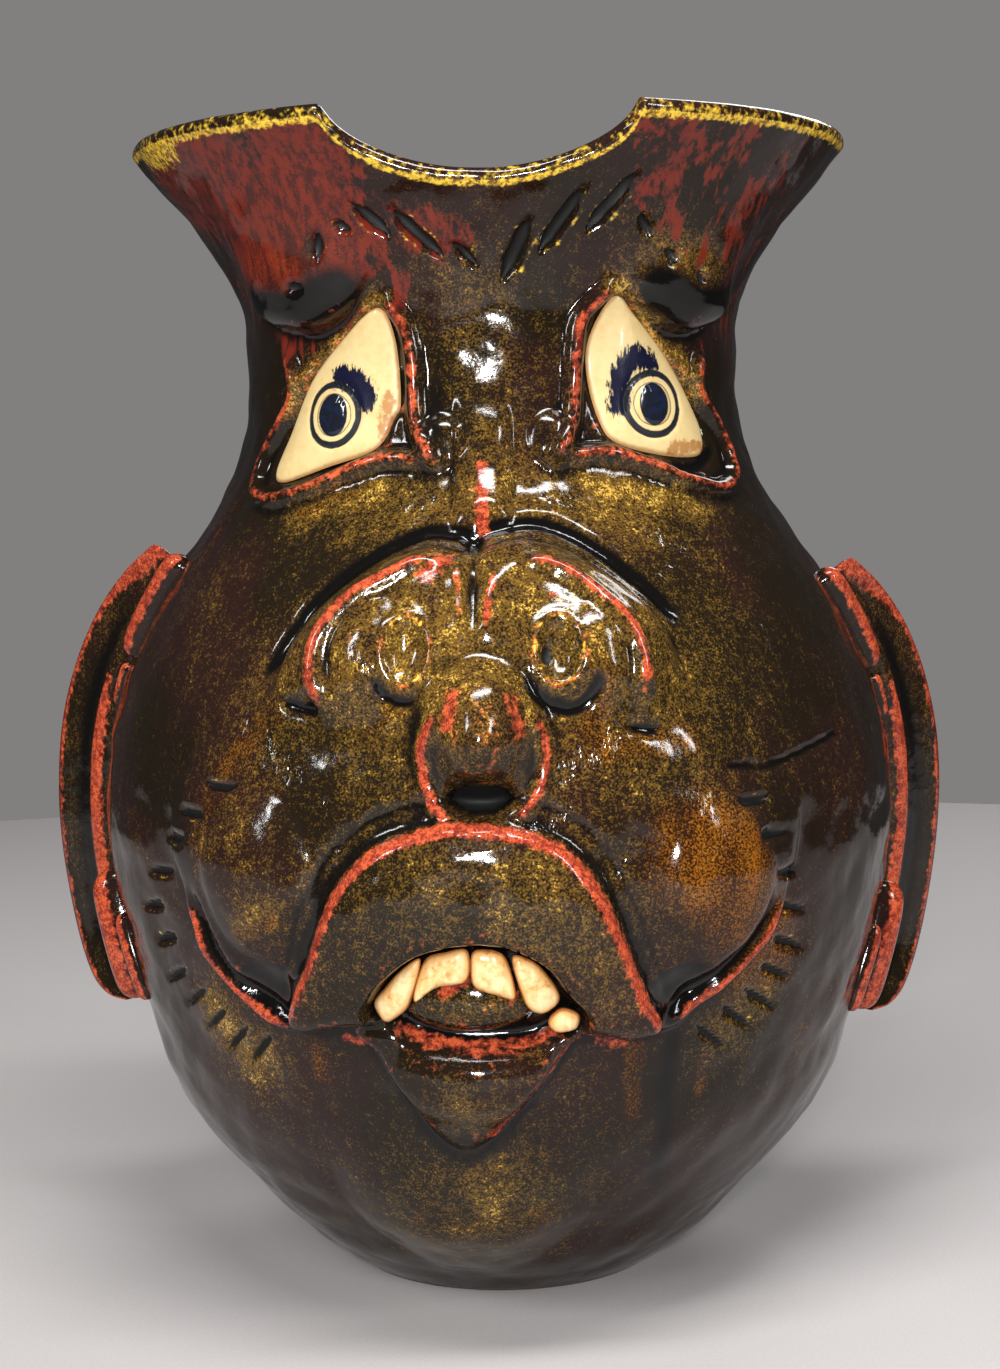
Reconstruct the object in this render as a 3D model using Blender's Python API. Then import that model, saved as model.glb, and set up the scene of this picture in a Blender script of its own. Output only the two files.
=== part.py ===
"""Face jug: a thrown stoneware vessel with a modelled face and inset clay eyes and teeth.

Metres, +Z up. The origin is the middle of the foot and the face looks towards -Y. Sizes below are in
millimetres. A place on the jug is given as (azimuth in degrees, height in hundredths of the jug's height):
azimuth 0 is the front, and it grows towards +X.
"""

import math

import bmesh
import bpy
import numpy as np

MM = 0.001

# The thrown vessel
HEIGHT = 380.0
FOOT_RADIUS = 51.6
BELLY_RADIUS = 134.2
WAIST_RADIUS = 82.8
RIM_RADIUS = 119.3
BELLY_AT = 42.1
WAIST_AT = 80.5
BODY_WALL = 6.5
RIM_WALL = 5.2
FLOOR = 9.0

# Where the flared wall ends and the round lip starts: below the top, and in from the widest point
LIP_HEIGHT = RIM_WALL * 0.83
LIP_INSET = RIM_WALL * 0.12

# How the radius runs from one named radius to the next: (share of the way up, share of the way across)
FOOT_TO_BELLY = (
    (0, 0), (0.063, 0.173), (0.175, 0.392), (0.27, 0.556), (0.394, 0.731), (0.544, 0.834),
    (0.75, 0.943),
)
BELLY_TO_WAIST = ((0, 0), (0.274, 0.128), (0.548, 0.514), (0.685, 0.782), (0.822, 0.953))
WAIST_TO_RIM = ((0, 0), (0.243, 0.02), (0.446, 0.176), (0.689, 0.486), (0.878, 0.802), (1, 1))

# The two round notches in the rim: middle and half width in degrees, depth in millimetres, squareness
FRONT_NOTCH = (-1.2, 24.0, 19.0, 0.55)
BACK_NOTCH = (180.0, 28.0, 20.0, 0.6)

# Clearance all round between the fired body and a piece of clay set in it
INSET_GAP = 0.35

# Raised clay: how far each mass stands off the thrown wall
CHEEK_RISE = 8.0
NOSE_RISE = 10.0
UPPER_LIP_RISE = 8.5
LOWER_LIP_RISE = 11.0
CHIN_RISE = 7.0
BROW_RISE = 12.5
JOWL_RISE = 2.4
LIP_RIDGE_RISE = 1.5
LID_COIL = 3.2
EAR_PLATE = 4.5

# How far the upper lip's edge lies outside the red ridge on it
LIP_GROWTH = 2.6

# Hollows: how deep each goes, measured from the thrown wall where it is a pocket
EYE_POCKET = -1.5
MOUTH_POCKET = 3.0
NOSTRIL_DEPTH = 5.0
SLIT_DEPTH = 2.8
FOLD_DEPTH = 3.2
JOWL_DEPTH = 4.0

# Inset clay
EYE_THICKNESS = 4.6
EYE_DOME = 2.6
TOOTH_THICKNESS = 5.5
TOOTH_DOME = 1.4
TOOTH_PROUD = 11.0

# Outlines of the raised masses, as places on the jug
CHEEKS = (
    (-46, 37), (-43.2, 32.9), (-40.5, 30.8), (-36.5, 28.6), (-31.8, 27.2), (-22, 28), (-14, 28.6),
    (-4, 27.6), (7, 28.2), (15, 27), (23.5, 27), (27.3, 28.5), (31, 30.2), (35.6, 32.4), (39, 35),
    (43, 42), (41, 50), (34, 57), (27, 63), (14, 68), (0, 70), (-14, 69), (-28, 65), (-38, 57),
    (-47, 50), (-49, 42),
)
NOSE_PLATE = (
    (-31, 53.5), (-31.4, 58.5), (-27.9, 62.3), (-21.8, 65), (-13, 66.9), (-3.6, 66.4), (4.2, 67.1),
    (11, 65.4), (19.2, 63.4), (24, 61), (25.5, 57), (22.5, 52.5), (12, 50), (-2, 49), (-16, 50),
    (-25, 51.6),
)
UPPER_LIP = (
    (-27.5, 29), (-23.8, 33), (-21.2, 36.7), (-18.4, 39.9), (-14.3, 42.3), (-9.1, 43.6), (-4.2, 44.1),
    (0.8, 43.8), (6, 42.7), (9.8, 40.6), (12.4, 37.7), (14.8, 34.3), (17.2, 30.8), (20, 28.5),
    (16.5, 27.3), (11.5, 27.9), (6, 28.6), (-4, 28), (-14, 29), (-20, 28.8), (-25.2, 27.8),
)
LOWER_LIP = (
    (-20, 28), (-17.4, 28.9), (-13.5, 28.8), (-10.4, 27.5), (-3.9, 27.2), (3.2, 27.3), (7.3, 28.4),
    (11.3, 28.7), (8.6, 26.8), (5, 24.2), (1.6, 21.4), (-2.1, 18.9), (-5.9, 17.4), (-10.4, 19.8),
    (-13.5, 22.8), (-16.5, 25.8),
)
CHIN = (
    (-27, 10.6), (-21.5, 7.4), (-14.5, 4.9), (-6.5, 4.1), (-0.6, 4.6), (5.5, 6.4), (11.5, 9.6),
    (11, 15), (3, 19), (-7, 20), (-18, 18.5), (-26, 15),
)
LEFT_BROW = (
    (-54, 85), (-52.5, 83), (-45.2, 81.6), (-37, 81.6), (-29.5, 84.4), (-26, 87), (-33, 89.2),
    (-44, 88.6),
)
RIGHT_BROW = (
    (29.5, 87.5), (33.5, 84.6), (38.2, 82.8), (43, 81.5), (49.5, 81.6), (55, 84), (54, 87.4),
    (42, 89.4),
)

# The raised edge of the jaw, where the cheek ends below, on each side
JOWLS = (
    ((-47, 38), (-43.2, 32.9), (-40.5, 30.8), (-36.5, 28.6), (-31.8, 27.2), (-28.5, 26.9)),
    ((42, 37.2), (39, 35), (35.6, 32.4), (31, 30.2), (27.3, 28.5), (23.5, 27)),
)

# Outlines of the pockets and of the clay set in them
LEFT_EYE = (
    (-25.4, 84.7), (-21.2, 82.2), (-20, 77.1), (-21.3, 75.7), (-25.3, 73.2), (-36.5, 71.8),
    (-48.1, 70.6), (-52.2, 71.4), (-50.3, 74.3), (-44.6, 78.5), (-35.5, 81.9),
)
RIGHT_EYE = (
    (27.5, 85.4), (21.8, 82.3), (20.6, 79.5), (22.9, 75.5), (26.7, 73.4), (38.3, 72.3), (49, 72.3),
    (52, 73.8), (50.3, 76), (42.8, 80), (32.8, 83.9),
)
MOUTH = (
    (-16.6, 30), (-15.4, 31.6), (-13, 33.4), (-9.3, 35), (-3.9, 35.8), (0.6, 35.5), (5, 34),
    (7.6, 31.8), (10.2, 30), (9.4, 28.2), (3.5, 27.4), (-4, 27.3), (-10.6, 27.6), (-13.6, 28.9),
)
TEETH = (
    ((-9.9, 34.2), (-11.4, 31), (-13.3, 29.8), (-14.8, 29.5), (-15.8, 30.8), (-14.4, 32), (-12.1, 33.5)),
    ((-10.7, 31.2), (-9.2, 34.2), (-6.7, 34.9), (-4.2, 35), (-4.4, 32.8), (-8, 32.2)),
    ((-3.6, 33.9), (-3.1, 35), (-0.8, 35), (0.6, 34.2), (1.5, 31.5), (-0.5, 31.6), (-3.2, 32.3)),
    ((1.4, 34.4), (3.2, 34.3), (5.1, 33.3), (6.9, 31.3), (5.2, 30.2), (3.4, 30.5), (2.3, 31.9)),
    ((5.9, 29.6), (7.4, 30.3), (9.4, 29.8), (9.2, 28.8), (7.1, 28.5), (6, 28.9)),
)

# The masses: outline, rise, and how far in its edge rounds and how much of it stands, both by height
EVEN = ((0, 1), (100, 1))
MASSES = (
    (CHEEKS, CHEEK_RISE, ((34, 11), (50, 40)), EVEN),
    (NOSE_PLATE, NOSE_RISE, ((53, 24), (60, 11)), ((49, 0), (54, 0.45), (60, 1))),
    (CHIN, CHIN_RISE, ((6, 8), (14, 26)), EVEN),
    (LEFT_BROW, BROW_RISE, ((80, 10), (90, 10)), ((84.5, 1), (89.5, 0))),
    (RIGHT_BROW, BROW_RISE, ((80, 10), (90, 10)), ((84.5, 1), (89.5, 0))),
)
LIP_EDGE = 4.5
LOWER_LIP_EDGE = 6.0
LOWER_LIP_STANDS = ((18, 0.42), (22, 0.7), (26, 1))

# Coils of clay laid on the surface: (radius, rise, places along it)
LEFT_LIDS = (
    (LID_COIL, LID_COIL, (
        (-24.3, 86), (-19, 83.5), (-17, 80.6), (-16.8, 77.5), (-16, 75), (-13.5, 72.8), (-10.5, 70.9),
    )),
    (LID_COIL, LID_COIL, (
        (-12.5, 71.4), (-17.1, 72.2), (-23.6, 72.2), (-31.7, 71.2), (-40, 69.8), (-48.4, 69),
        (-56, 69.8), (-58, 72.2), (-53.5, 75.3), (-49.5, 77.6), (-49.3, 79.8), (-53, 82),
    )),
    (LID_COIL * 0.8, LID_COIL * 0.6, ((-24.3, 86), (-28, 84.6), (-31.5, 83), (-36, 81), (-43, 79.6))),
)
RIGHT_LIDS = (
    (LID_COIL, LID_COIL, (
        (27.6, 86.8), (22.4, 85), (19, 83.2), (17.8, 80.4), (17.3, 77.4), (16.6, 75), (14.2, 73),
        (11, 71),
    )),
    (LID_COIL, LID_COIL, (
        (13, 71.6), (17.4, 72.3), (24.3, 72.5), (32.8, 71.5), (39.7, 70.5), (50.4, 69.5), (58, 70.2),
        (60, 72.2), (57.5, 74.8), (53, 77), (51.6, 79), (53.5, 81.6),
    )),
    (LID_COIL * 0.8, LID_COIL * 0.6, ((27.6, 86.8), (32.5, 84), (37, 82), (43, 80.4))),
)
NOSE_COILS = (
    (3.2, 2.9, (
        (-4.5, 65), (-13.1, 64.2), (-18.6, 62.4), (-22.9, 59.8), (-24.2, 57.1), (-23.2, 54.9),
        (-20, 53),
    )),
    (3.2, 2.9, ((1, 65), (9.6, 63.8), (14.6, 62.2), (18, 59.7), (19, 56.8), (18.6, 54.4), (17.2, 53))),
    (2.8, 2.4, ((-6.2, 52.6), (-8.8, 50.2), (-8.6, 47.4), (-7.2, 45.4), (-4.6, 44.2), (-2.2, 43.9))),
    (2.8, 2.4, ((-2.2, 43.9), (0.4, 44.3), (3.2, 45.4), (5.2, 47.4), (5.6, 50.2), (3.6, 52.8))),
    (9.0, 5.0, ((-2, 78), (-2.2, 75), (-1.8, 70), (-1.7, 66.5))),
)
MOUTH_COILS = (
    (3.4, LIP_RIDGE_RISE, ((-28.4, 28.2), *UPPER_LIP[1:13], (20.6, 28.2))),
    (2.2, JOWL_RISE, JOWLS[0]),
    (2.2, JOWL_RISE, JOWLS[1]),
)

# Strips of clay at the front of an ear: (half width, rise, places along it)
EAR_STRIPS = (
    (4.6, 6.2, ((78, 64), (81.5, 61.6), (85, 58.4), (87.2, 55))),
    (5.2, 8.6, ((82.4, 36.4), (80.6, 32.4), (79.6, 28.6), (80, 24.9))),
    (2.9, 3.6, ((75.8, 33), (74, 29.6), (72.8, 25.4))),
)

# Rounded swellings: (place, half width, half height, rise)
SWELLINGS = (
    ((-2.1, 51.0), 15.0, 15.0, 12.5),
    ((-11, 73.6), 8.0, 9.0, 3.5),
    ((12, 73.8), 8.0, 9.0, 3.5),
    ((-31, 40), 20.0, 24.0, 5.0),
    ((28, 39.5), 19.0, 24.0, 5.0),
    ((-17.5, 58), 9.0, 16.0, 2.6),
    ((14, 58), 8.0, 15.0, 2.6),
)
GUM = ((-4.3, 30.6), 17.0, 9.0, 7.0)
LOWER_ROLL = ((-4.1, 24.9), 24.0, 7.5, 3.2)

# Pits: (place, half width, half height, depth)
PITS = (
    ((-10.6, 57.5), 6.2, 8.8, NOSTRIL_DEPTH),
    ((7.9, 57.4), 6.4, 8.8, NOSTRIL_DEPTH),
    ((-2.1, 46.4), 9.5, 4.8, 8.0),
    ((-30.4, 29.9), 9.5, 8.0, 8.0),
    ((22.8, 29.7), 9.0, 8.0, 8.0),
)

# Cut strokes: (half width, depth, places along it)
STROKES = (
    (2.3, SLIT_DEPTH, ((-17.5, 91.8), (-9.9, 88.6))),
    (2.3, SLIT_DEPTH, ((-24.5, 92.5), (-19.6, 90.3))),
    (1.9, SLIT_DEPTH, ((-6.8, 89.3), (-3, 87.8))),
    (2.7, SLIT_DEPTH, ((7.4, 90.9), (2.8, 86.8))),
    (2.5, SLIT_DEPTH, ((16.3, 93), (10.3, 88.9))),
    (2.5, SLIT_DEPTH, ((25.3, 94.2), (19.2, 90.4))),
    (2.2, SLIT_DEPTH, ((28.7, 91.6), (31.3, 90.5))),
    (3.0, SLIT_DEPTH, ((-41.4, 87.6), (-39, 87.6))),
    (2.5, SLIT_DEPTH, ((-34, 89.6), (-33, 91))),
    (2.5, SLIT_DEPTH, ((35.6, 89.6), (37.2, 88.9))),
    (2.5, SLIT_DEPTH, ((43.2, 88.2), (44.8, 87.7))),
    (1.9, FOLD_DEPTH, ((-28.6, 53), (-21.6, 52.3))),
    (1.9, FOLD_DEPTH, ((15.9, 51), (20.8, 50.6))),
    (1.9, FOLD_DEPTH, ((-3, 66), (-2.8, 58))),
    (1.4, FOLD_DEPTH / 2, ((27.2, 47.8), (37.1, 47.5), (47, 48.4), (57, 49.5))),
    (3.4, JOWL_DEPTH, tuple((turn + 3.2, up + 1.2) for turn, up in JOWLS[0])),
    (3.4, JOWL_DEPTH, tuple((turn - 3.2, up + 1.2) for turn, up in JOWLS[1])),
)

# The whisker strokes along the jaw: middle of each, and how many degrees its front end is tipped up
LEFT_WHISKERS = (
    (-37, 46.5, 0), (-42.8, 44.2, 0), (-46.9, 42, 4), (-53.3, 38.7, 6), (-56.9, 35.5, 8),
    (-55, 32.8, 12), (-54.2, 29.8, 20), (-50.1, 28.2, 26), (-46.1, 26.6, 32), (-42.4, 25.2, 36),
    (-38.1, 24.6, 40),
)
RIGHT_WHISKERS = (
    (32.7, 45, 0), (35.6, 42.3, 4), (40, 39, 10), (42.4, 35.7, 14), (43.1, 32.6, 18), (41.1, 30.4, 22),
    (39.1, 28.2, 28), (35.3, 26.9, 32), (31.2, 25.5, 36),
)
WHISKER_LENGTH = 12.5
WHISKER_WIDTH = 1.8

# The ear from its upper front tip round to the lobe:
# root azimuth and height, rim azimuth and height, and how far the rim stands off the wall
EAR_STATIONS = (
    (80, 62.2, 83.6, 63.9, 9.5), (84, 59.4, 89, 60.9, 14.2), (87, 55.6, 93, 57.4, 17.8),
    (89, 50.5, 96.5, 52.1, 20.8), (90, 46, 98.5, 47.4, 23.0), (90.5, 41.5, 99.5, 42.4, 23.8),
    (90, 36, 99.5, 36.1, 24.4), (88.5, 31, 98, 30.0, 23.4), (86, 27.8, 94, 26.6, 19.5),
    (82.5, 26.2, 89, 25.0, 13.5), (79.5, 25.6, 84, 24.6, 6.5),
)

# Across the ear's plate, front face then back: place round it, share of its width, share of its stand, lift
EAR_SECTION = (
    (0, 0, 0, -3), (0.07, 0.07, 0.08, 0), (0.14, 0.17, 0.17, 1), (0.21, 0.285, 0.27, 2.6),
    (0.29, 0.455, 0.42, 1.3), (0.36, 0.62, 0.6, -1.1), (0.43, 0.81, 0.8, -0.3), (0.5, 1, 1, 1.6),
    (0.57, 1.01, 0.98, -3), (0.64, 0.86, 0.86, -EAR_PLATE), (0.8, 0.45, 0.46, -EAR_PLATE),
    (0.93, 0.12, 0.08, -EAR_PLATE), (1, 0, 0, -3),
)

# Along the ear: where its ends are fully open, and where the modelling across its face is at its full height
EAR_END = 0.05
EAR_PLAIN_END = 0.16

# Each ear: its side, its name, and how much lower it sits, in hundredths of the jug's height
EARS = ((-1, "left", 0.0), (1, "right", 2.1))

# Where along the skin each stage ends: the foot's underside, the outside, the lip and the inside
FOOT_EDGE = 0.03
LIP_OUTSIDE = 0.76
LIP_INSIDE = 0.80
FLOOR_EDGE = 0.97

# Height over which the modelling fades out above the foot
FOOT_FADE = 9.0

# How finely the surface is drawn before it is thinned
FRONT_HALF = 100.0
FRONT_SHARE = 0.84
BODY_COLUMNS = 190
BODY_ROWS = 210
BODY_TRIANGLES = 6300
EAR_COLUMNS = 14
EAR_ROWS = 26
EYE_COLUMNS = 22
TOOTH_COLUMNS = 12
INSET_ROWS = 7
FOOT_CUT = 1.0


def clear_scene():
    """Removes what the scene holds."""
    for obj in list(bpy.data.objects):
        bpy.data.objects.remove(obj, do_unlink=True)


def material(name, colour, roughness):
    """A fired surface."""
    made = bpy.data.materials.new(name)
    made.use_nodes = True
    shader = made.node_tree.nodes["Principled BSDF"]
    shader.inputs["Base Color"].default_value = (*colour, 1)
    shader.inputs["Roughness"].default_value = roughness
    shader.inputs["Metallic"].default_value = 0.0
    return made


def smooth_step(low, high, value):
    """Runs smoothly from 0 at low to 1 at high."""
    t = np.clip((value - low) / (high - low), 0, 1)
    return t * t * (3 - 2 * t)


def profile_knots():
    """Heights and radii that the thrown outline passes through."""
    belly = HEIGHT * BELLY_AT / 100
    waist = HEIGHT * WAIST_AT / 100
    spans = (
        (FOOT_TO_BELLY, 0.0, belly, FOOT_RADIUS, BELLY_RADIUS),
        (BELLY_TO_WAIST, belly, waist, BELLY_RADIUS, WAIST_RADIUS),
        (WAIST_TO_RIM, waist, HEIGHT - LIP_HEIGHT, WAIST_RADIUS, RIM_RADIUS - LIP_INSET),
    )
    knots = [
        (low + up * (high - low), start + across * (end - start))
        for shape, low, high, start, end in spans
        for up, across in shape
    ]
    return np.array(knots).T


KNOT_HEIGHTS, KNOT_RADII = profile_knots()
KNOT_SLOPES = np.gradient(KNOT_RADII, KNOT_HEIGHTS)


def wall_radius(height):
    """Radius of the thrown wall's outside, and its slope, at a height in millimetres."""
    place = np.clip(np.searchsorted(KNOT_HEIGHTS, height, "right") - 1, 0, len(KNOT_HEIGHTS) - 2)
    span = KNOT_HEIGHTS[place + 1] - KNOT_HEIGHTS[place]
    t = np.clip((height - KNOT_HEIGHTS[place]) / span, 0, 1)
    start, end = KNOT_RADII[place], KNOT_RADII[place + 1]
    leave, arrive = KNOT_SLOPES[place] * span, KNOT_SLOPES[place + 1] * span
    radius = (
        start * (2 * t**3 - 3 * t**2 + 1) + leave * (t**3 - 2 * t**2 + t)
        + end * (3 * t**2 - 2 * t**3) + arrive * (t**3 - t**2)
    )
    slope = (
        start * (6 * t**2 - 6 * t) + leave * (3 * t**2 - 4 * t + 1)
        + end * (6 * t - 6 * t**2) + arrive * (3 * t**2 - 2 * t)
    ) / span
    return radius, slope


def wall_point(azimuth, height, proud=0.0):
    """Point on the thrown wall, or proud of it along its own normal."""
    radius, slope = wall_radius(height)
    steep = np.sqrt(1 + slope**2)
    out = radius + proud / steep
    turn = np.radians(azimuth)
    return np.stack((out * np.sin(turn), -out * np.cos(turn), height - proud * slope / steep), -1)


def places(points):
    """Azimuths and heights in millimetres of places on the jug."""
    found = np.array(points, dtype=float)
    found[:, 1] *= HEIGHT / 100
    return found


def smooth_line(points, closed=False, steps=6):
    """More places along a smooth line through a few."""
    knots = places(points)
    if len(knots) == 2 and not closed:
        return knots
    if closed:
        knots = np.concatenate((knots[-1:], knots, knots[:2]))
    else:
        knots = np.concatenate((2 * knots[:1] - knots[1:2], knots, 2 * knots[-1:] - knots[-2:-1]))
    before, start, end, after = knots[:-3], knots[1:-2], knots[2:-1], knots[3:]
    line = []
    for t in np.arange(steps) / steps:
        line.append(0.5 * (
            2 * start + (end - before) * t + (2 * before - 5 * start + 4 * end - after) * t**2
            + (3 * start - before - 3 * end + after) * t**3
        ))
    line = np.stack(line, 1).reshape(-1, 2)
    return line if closed else np.concatenate((line, knots[-2:-1]))


def distance_to(line, azimuth, height, reach):
    """Distance in millimetres, over the wall, from each place to a line of places, up to a reach."""
    points = wall_point(azimuth, height)
    ends = wall_point(line[:, 0], line[:, 1])
    near = np.all((points > ends.min(0) - reach) & (points < ends.max(0) + reach), axis=1)
    found = np.full(len(points), float(reach))
    points = points[near]
    best = np.full(len(points), float(reach))
    for start, end in zip(ends[:-1], ends[1:]):
        way = end - start
        t = np.clip((points - start) @ way / max(way @ way, 1e-9), 0, 1)
        best = np.minimum(best, np.linalg.norm(points - start - t[:, None] * way, axis=1))
    found[near] = best
    return found


def inside(outline, azimuth, height):
    """Whether each place lies inside a closed outline."""
    within = np.zeros(len(azimuth), dtype=bool)
    for (a0, h0), (a1, h1) in zip(outline, np.roll(outline, -1, axis=0)):
        if h0 == h1:
            continue
        crosses = (h0 > height) != (h1 > height)
        within ^= crosses & (azimuth < a0 + (height - h0) * (a1 - a0) / (h1 - h0))
    return within


def depth_inside(points, azimuth, height, reach):
    """Distance in from a closed outline, and below zero outside it."""
    outline = smooth_line(points, closed=True)
    ring = np.concatenate((outline, outline[:1]))
    far = distance_to(ring, azimuth, height, reach)
    return np.where(inside(outline, azimuth, height), far, -far)


def rounded_edge(depth, radius):
    """Share of the full rise of a slab whose edge is a quarter round."""
    t = np.clip(depth / radius, 0, 1)
    return np.sqrt(1 - (1 - t) ** 2)


def round_back(distance, radius):
    """Share of the full rise of a round coil at a distance from its middle line."""
    return np.sqrt(np.clip(1 - (distance / radius) ** 2, 0, 1))


def bowl(place, half_width, half_height, azimuth, height):
    """1 in the middle of a round place and 0 at its edge and beyond."""
    centre = places([place])[0]
    radius = wall_radius(centre[1:])[0][0]
    across = np.radians(azimuth - centre[0]) * radius / half_width
    up = (height - centre[1]) / half_height
    return np.clip(1 - across**2 - up**2, 0, 1)


def whiskers():
    """The jaw's strokes, each with its two ends."""
    for row, side in ((LEFT_WHISKERS, 1), (RIGHT_WHISKERS, -1)):
        for azimuth, share, lean in row:
            radius = wall_radius(np.array([share * HEIGHT / 100]))[0][0]
            turn = math.degrees(WHISKER_LENGTH / 2 * math.cos(math.radians(lean)) / radius)
            rise = WHISKER_LENGTH / 2 * math.sin(math.radians(lean)) * 100 / HEIGHT
            low = (azimuth - side * turn, share - rise)
            high = (azimuth + side * turn, share + rise)
            yield WHISKER_WIDTH, SLIT_DEPTH, (low, high)


def by_height(table, share):
    """Reads a table of (height, value) pairs at each place's share of the jug's height."""
    return np.interp(share, [row[0] for row in table], [row[1] for row in table])


def swelling(shape, azimuth, height, roundness=0.75):
    """How far one swelling or hollow stands or goes in."""
    place, half_width, half_height, rise = shape
    return rise * bowl(place, half_width, half_height, azimuth, height) ** roundness


def masses(azimuth, height):
    """How far the large masses of the face stand off the thrown wall."""
    share = height * 100 / HEIGHT
    rise = np.zeros(len(azimuth))
    for outline, full, edge, stands in MASSES:
        depth = depth_inside(outline, azimuth, height, max(row[1] for row in edge))
        rise += full * rounded_edge(depth, by_height(edge, share)) * by_height(stands, share)
    depth = depth_inside(UPPER_LIP, azimuth, height, LIP_EDGE * 2) + LIP_GROWTH
    rise += UPPER_LIP_RISE * rounded_edge(depth, LIP_EDGE)
    for shape in SWELLINGS:
        rise += swelling(shape, azimuth, height)
    return rise


def with_mouth(rise, azimuth, height):
    """Opens the mouth, and adds the gum in it and the lower lip before it."""
    share = height * 100 / HEIGHT
    opened = smooth_step(-0.6, 0.8, depth_inside(MOUTH, azimuth, height, MOUTH_POCKET * 2))
    rise = rise + (MOUTH_POCKET - rise) * opened
    rise += swelling(GUM, azimuth, height, 0.6)
    depth = depth_inside(LOWER_LIP, azimuth, height, LOWER_LIP_EDGE)
    lower = LOWER_LIP_RISE * by_height(LOWER_LIP_STANDS, share) * rounded_edge(depth, LOWER_LIP_EDGE)
    return np.maximum(rise, lower + swelling(LOWER_ROLL, azimuth, height))


def ear_strips():
    """The strips of clay at the front of both ears."""
    for side, _, lower in EARS:
        for radius, rise, line in EAR_STRIPS:
            yield radius, rise, tuple((side * turn, up - lower) for turn, up in line)


def relief(azimuth, height):
    """How far the modelled face stands off the thrown wall."""
    rise = with_mouth(masses(azimuth, height), azimuth, height)
    for radius, full, line in LEFT_LIDS + RIGHT_LIDS + NOSE_COILS + MOUTH_COILS + tuple(ear_strips()):
        rise += full * round_back(distance_to(smooth_line(line), azimuth, height, radius), radius)
    for outline in (LEFT_EYE, RIGHT_EYE):
        socket = smooth_step(-1.5, 0.5, depth_inside(outline, azimuth, height, LID_COIL))
        rise += (EYE_POCKET - rise) * socket
    for shape in PITS:
        rise -= swelling(shape, azimuth, height, 0.6)
    for half_width, deep, line in STROKES + tuple(whiskers()):
        far = distance_to(smooth_line(line), azimuth, height, half_width * 2)
        rise -= deep * np.exp(-((far / half_width) ** 2) * 1.6) * (far < half_width * 2)
    return rise


def notched(azimuth):
    """Height at which the wall ends and the lip starts, round the jug, with its two notches."""
    top = np.full(len(azimuth), HEIGHT - LIP_HEIGHT)
    for middle, half_width, drop, square in (FRONT_NOTCH, BACK_NOTCH):
        off = np.degrees(np.abs(np.angle(np.exp(1j * np.radians(azimuth - middle)))))
        top -= drop * np.clip(1 - (off / half_width) ** 2, 0, 1) ** square
    return top


def body_surface(across, along):
    """Points of the jug's whole skin: under the foot, up the outside, over the lip, down the inside."""
    side = (1 - FRONT_SHARE) / 2
    azimuth = np.interp(across, (0, side, 1 - side, 1), (-180, -FRONT_HALF, FRONT_HALF, 180))
    top = notched(azimuth)
    waist = HEIGHT * WAIST_AT / 100

    def fitted(height):
        squeeze = (top - waist) / (HEIGHT - waist)
        return np.where(height > waist, waist + (height - waist) * squeeze, height)

    points = np.zeros((len(across), 3))
    turn = np.radians(azimuth)
    # under the foot
    part = along < FOOT_EDGE
    spread = FOOT_RADIUS * along[part] / FOOT_EDGE
    low = np.full(part.sum(), -FOOT_CUT)
    points[part] = np.stack((spread * np.sin(turn[part]), -spread * np.cos(turn[part]), low), -1)
    # up the outside
    part = (along >= FOOT_EDGE) & (along < LIP_OUTSIDE)
    height = fitted(np.interp(along, (FOOT_EDGE, LIP_OUTSIDE), (0, HEIGHT)))[part]
    stand = relief(azimuth[part], height) * smooth_step(0, FOOT_FADE, height)
    points[part] = wall_point(azimuth[part], height, stand)
    # over the lip
    part = (along >= LIP_OUTSIDE) & (along < LIP_INSIDE)
    bend = np.interp(along, (LIP_OUTSIDE, LIP_INSIDE), (0, math.pi))[part][:, None]
    outer = wall_point(azimuth[part], top[part])
    inner = wall_point(azimuth[part], top[part], -RIM_WALL)
    slope = wall_radius(top[part])[1]
    upward = np.stack((slope * np.sin(turn[part]), -slope * np.cos(turn[part]), 0 * slope + 1), -1)
    upward /= np.sqrt(1 + slope**2)[:, None]
    middle = (outer + inner) / 2
    points[part] = middle + (outer - middle) * np.cos(bend) + upward * RIM_WALL / 2 * np.sin(bend)
    # down the inside
    part = (along >= LIP_INSIDE) & (along < FLOOR_EDGE)
    height = fitted(np.interp(along, (LIP_INSIDE, FLOOR_EDGE), (HEIGHT, FLOOR / 2)))[part]
    wall = np.interp(height, (waist, HEIGHT), (BODY_WALL, RIM_WALL))
    points[part] = wall_point(azimuth[part], height, -wall)
    # across the floor inside
    part = along >= FLOOR_EDGE
    rest = wall_point(azimuth[part], np.full(part.sum(), FLOOR / 2), -BODY_WALL)
    share = np.interp(along[part], (FLOOR_EDGE, 1), (1, 0))[:, None]
    centre = np.array((0, 0, FLOOR))
    points[part] = centre + (rest - centre) * share
    return points


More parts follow.
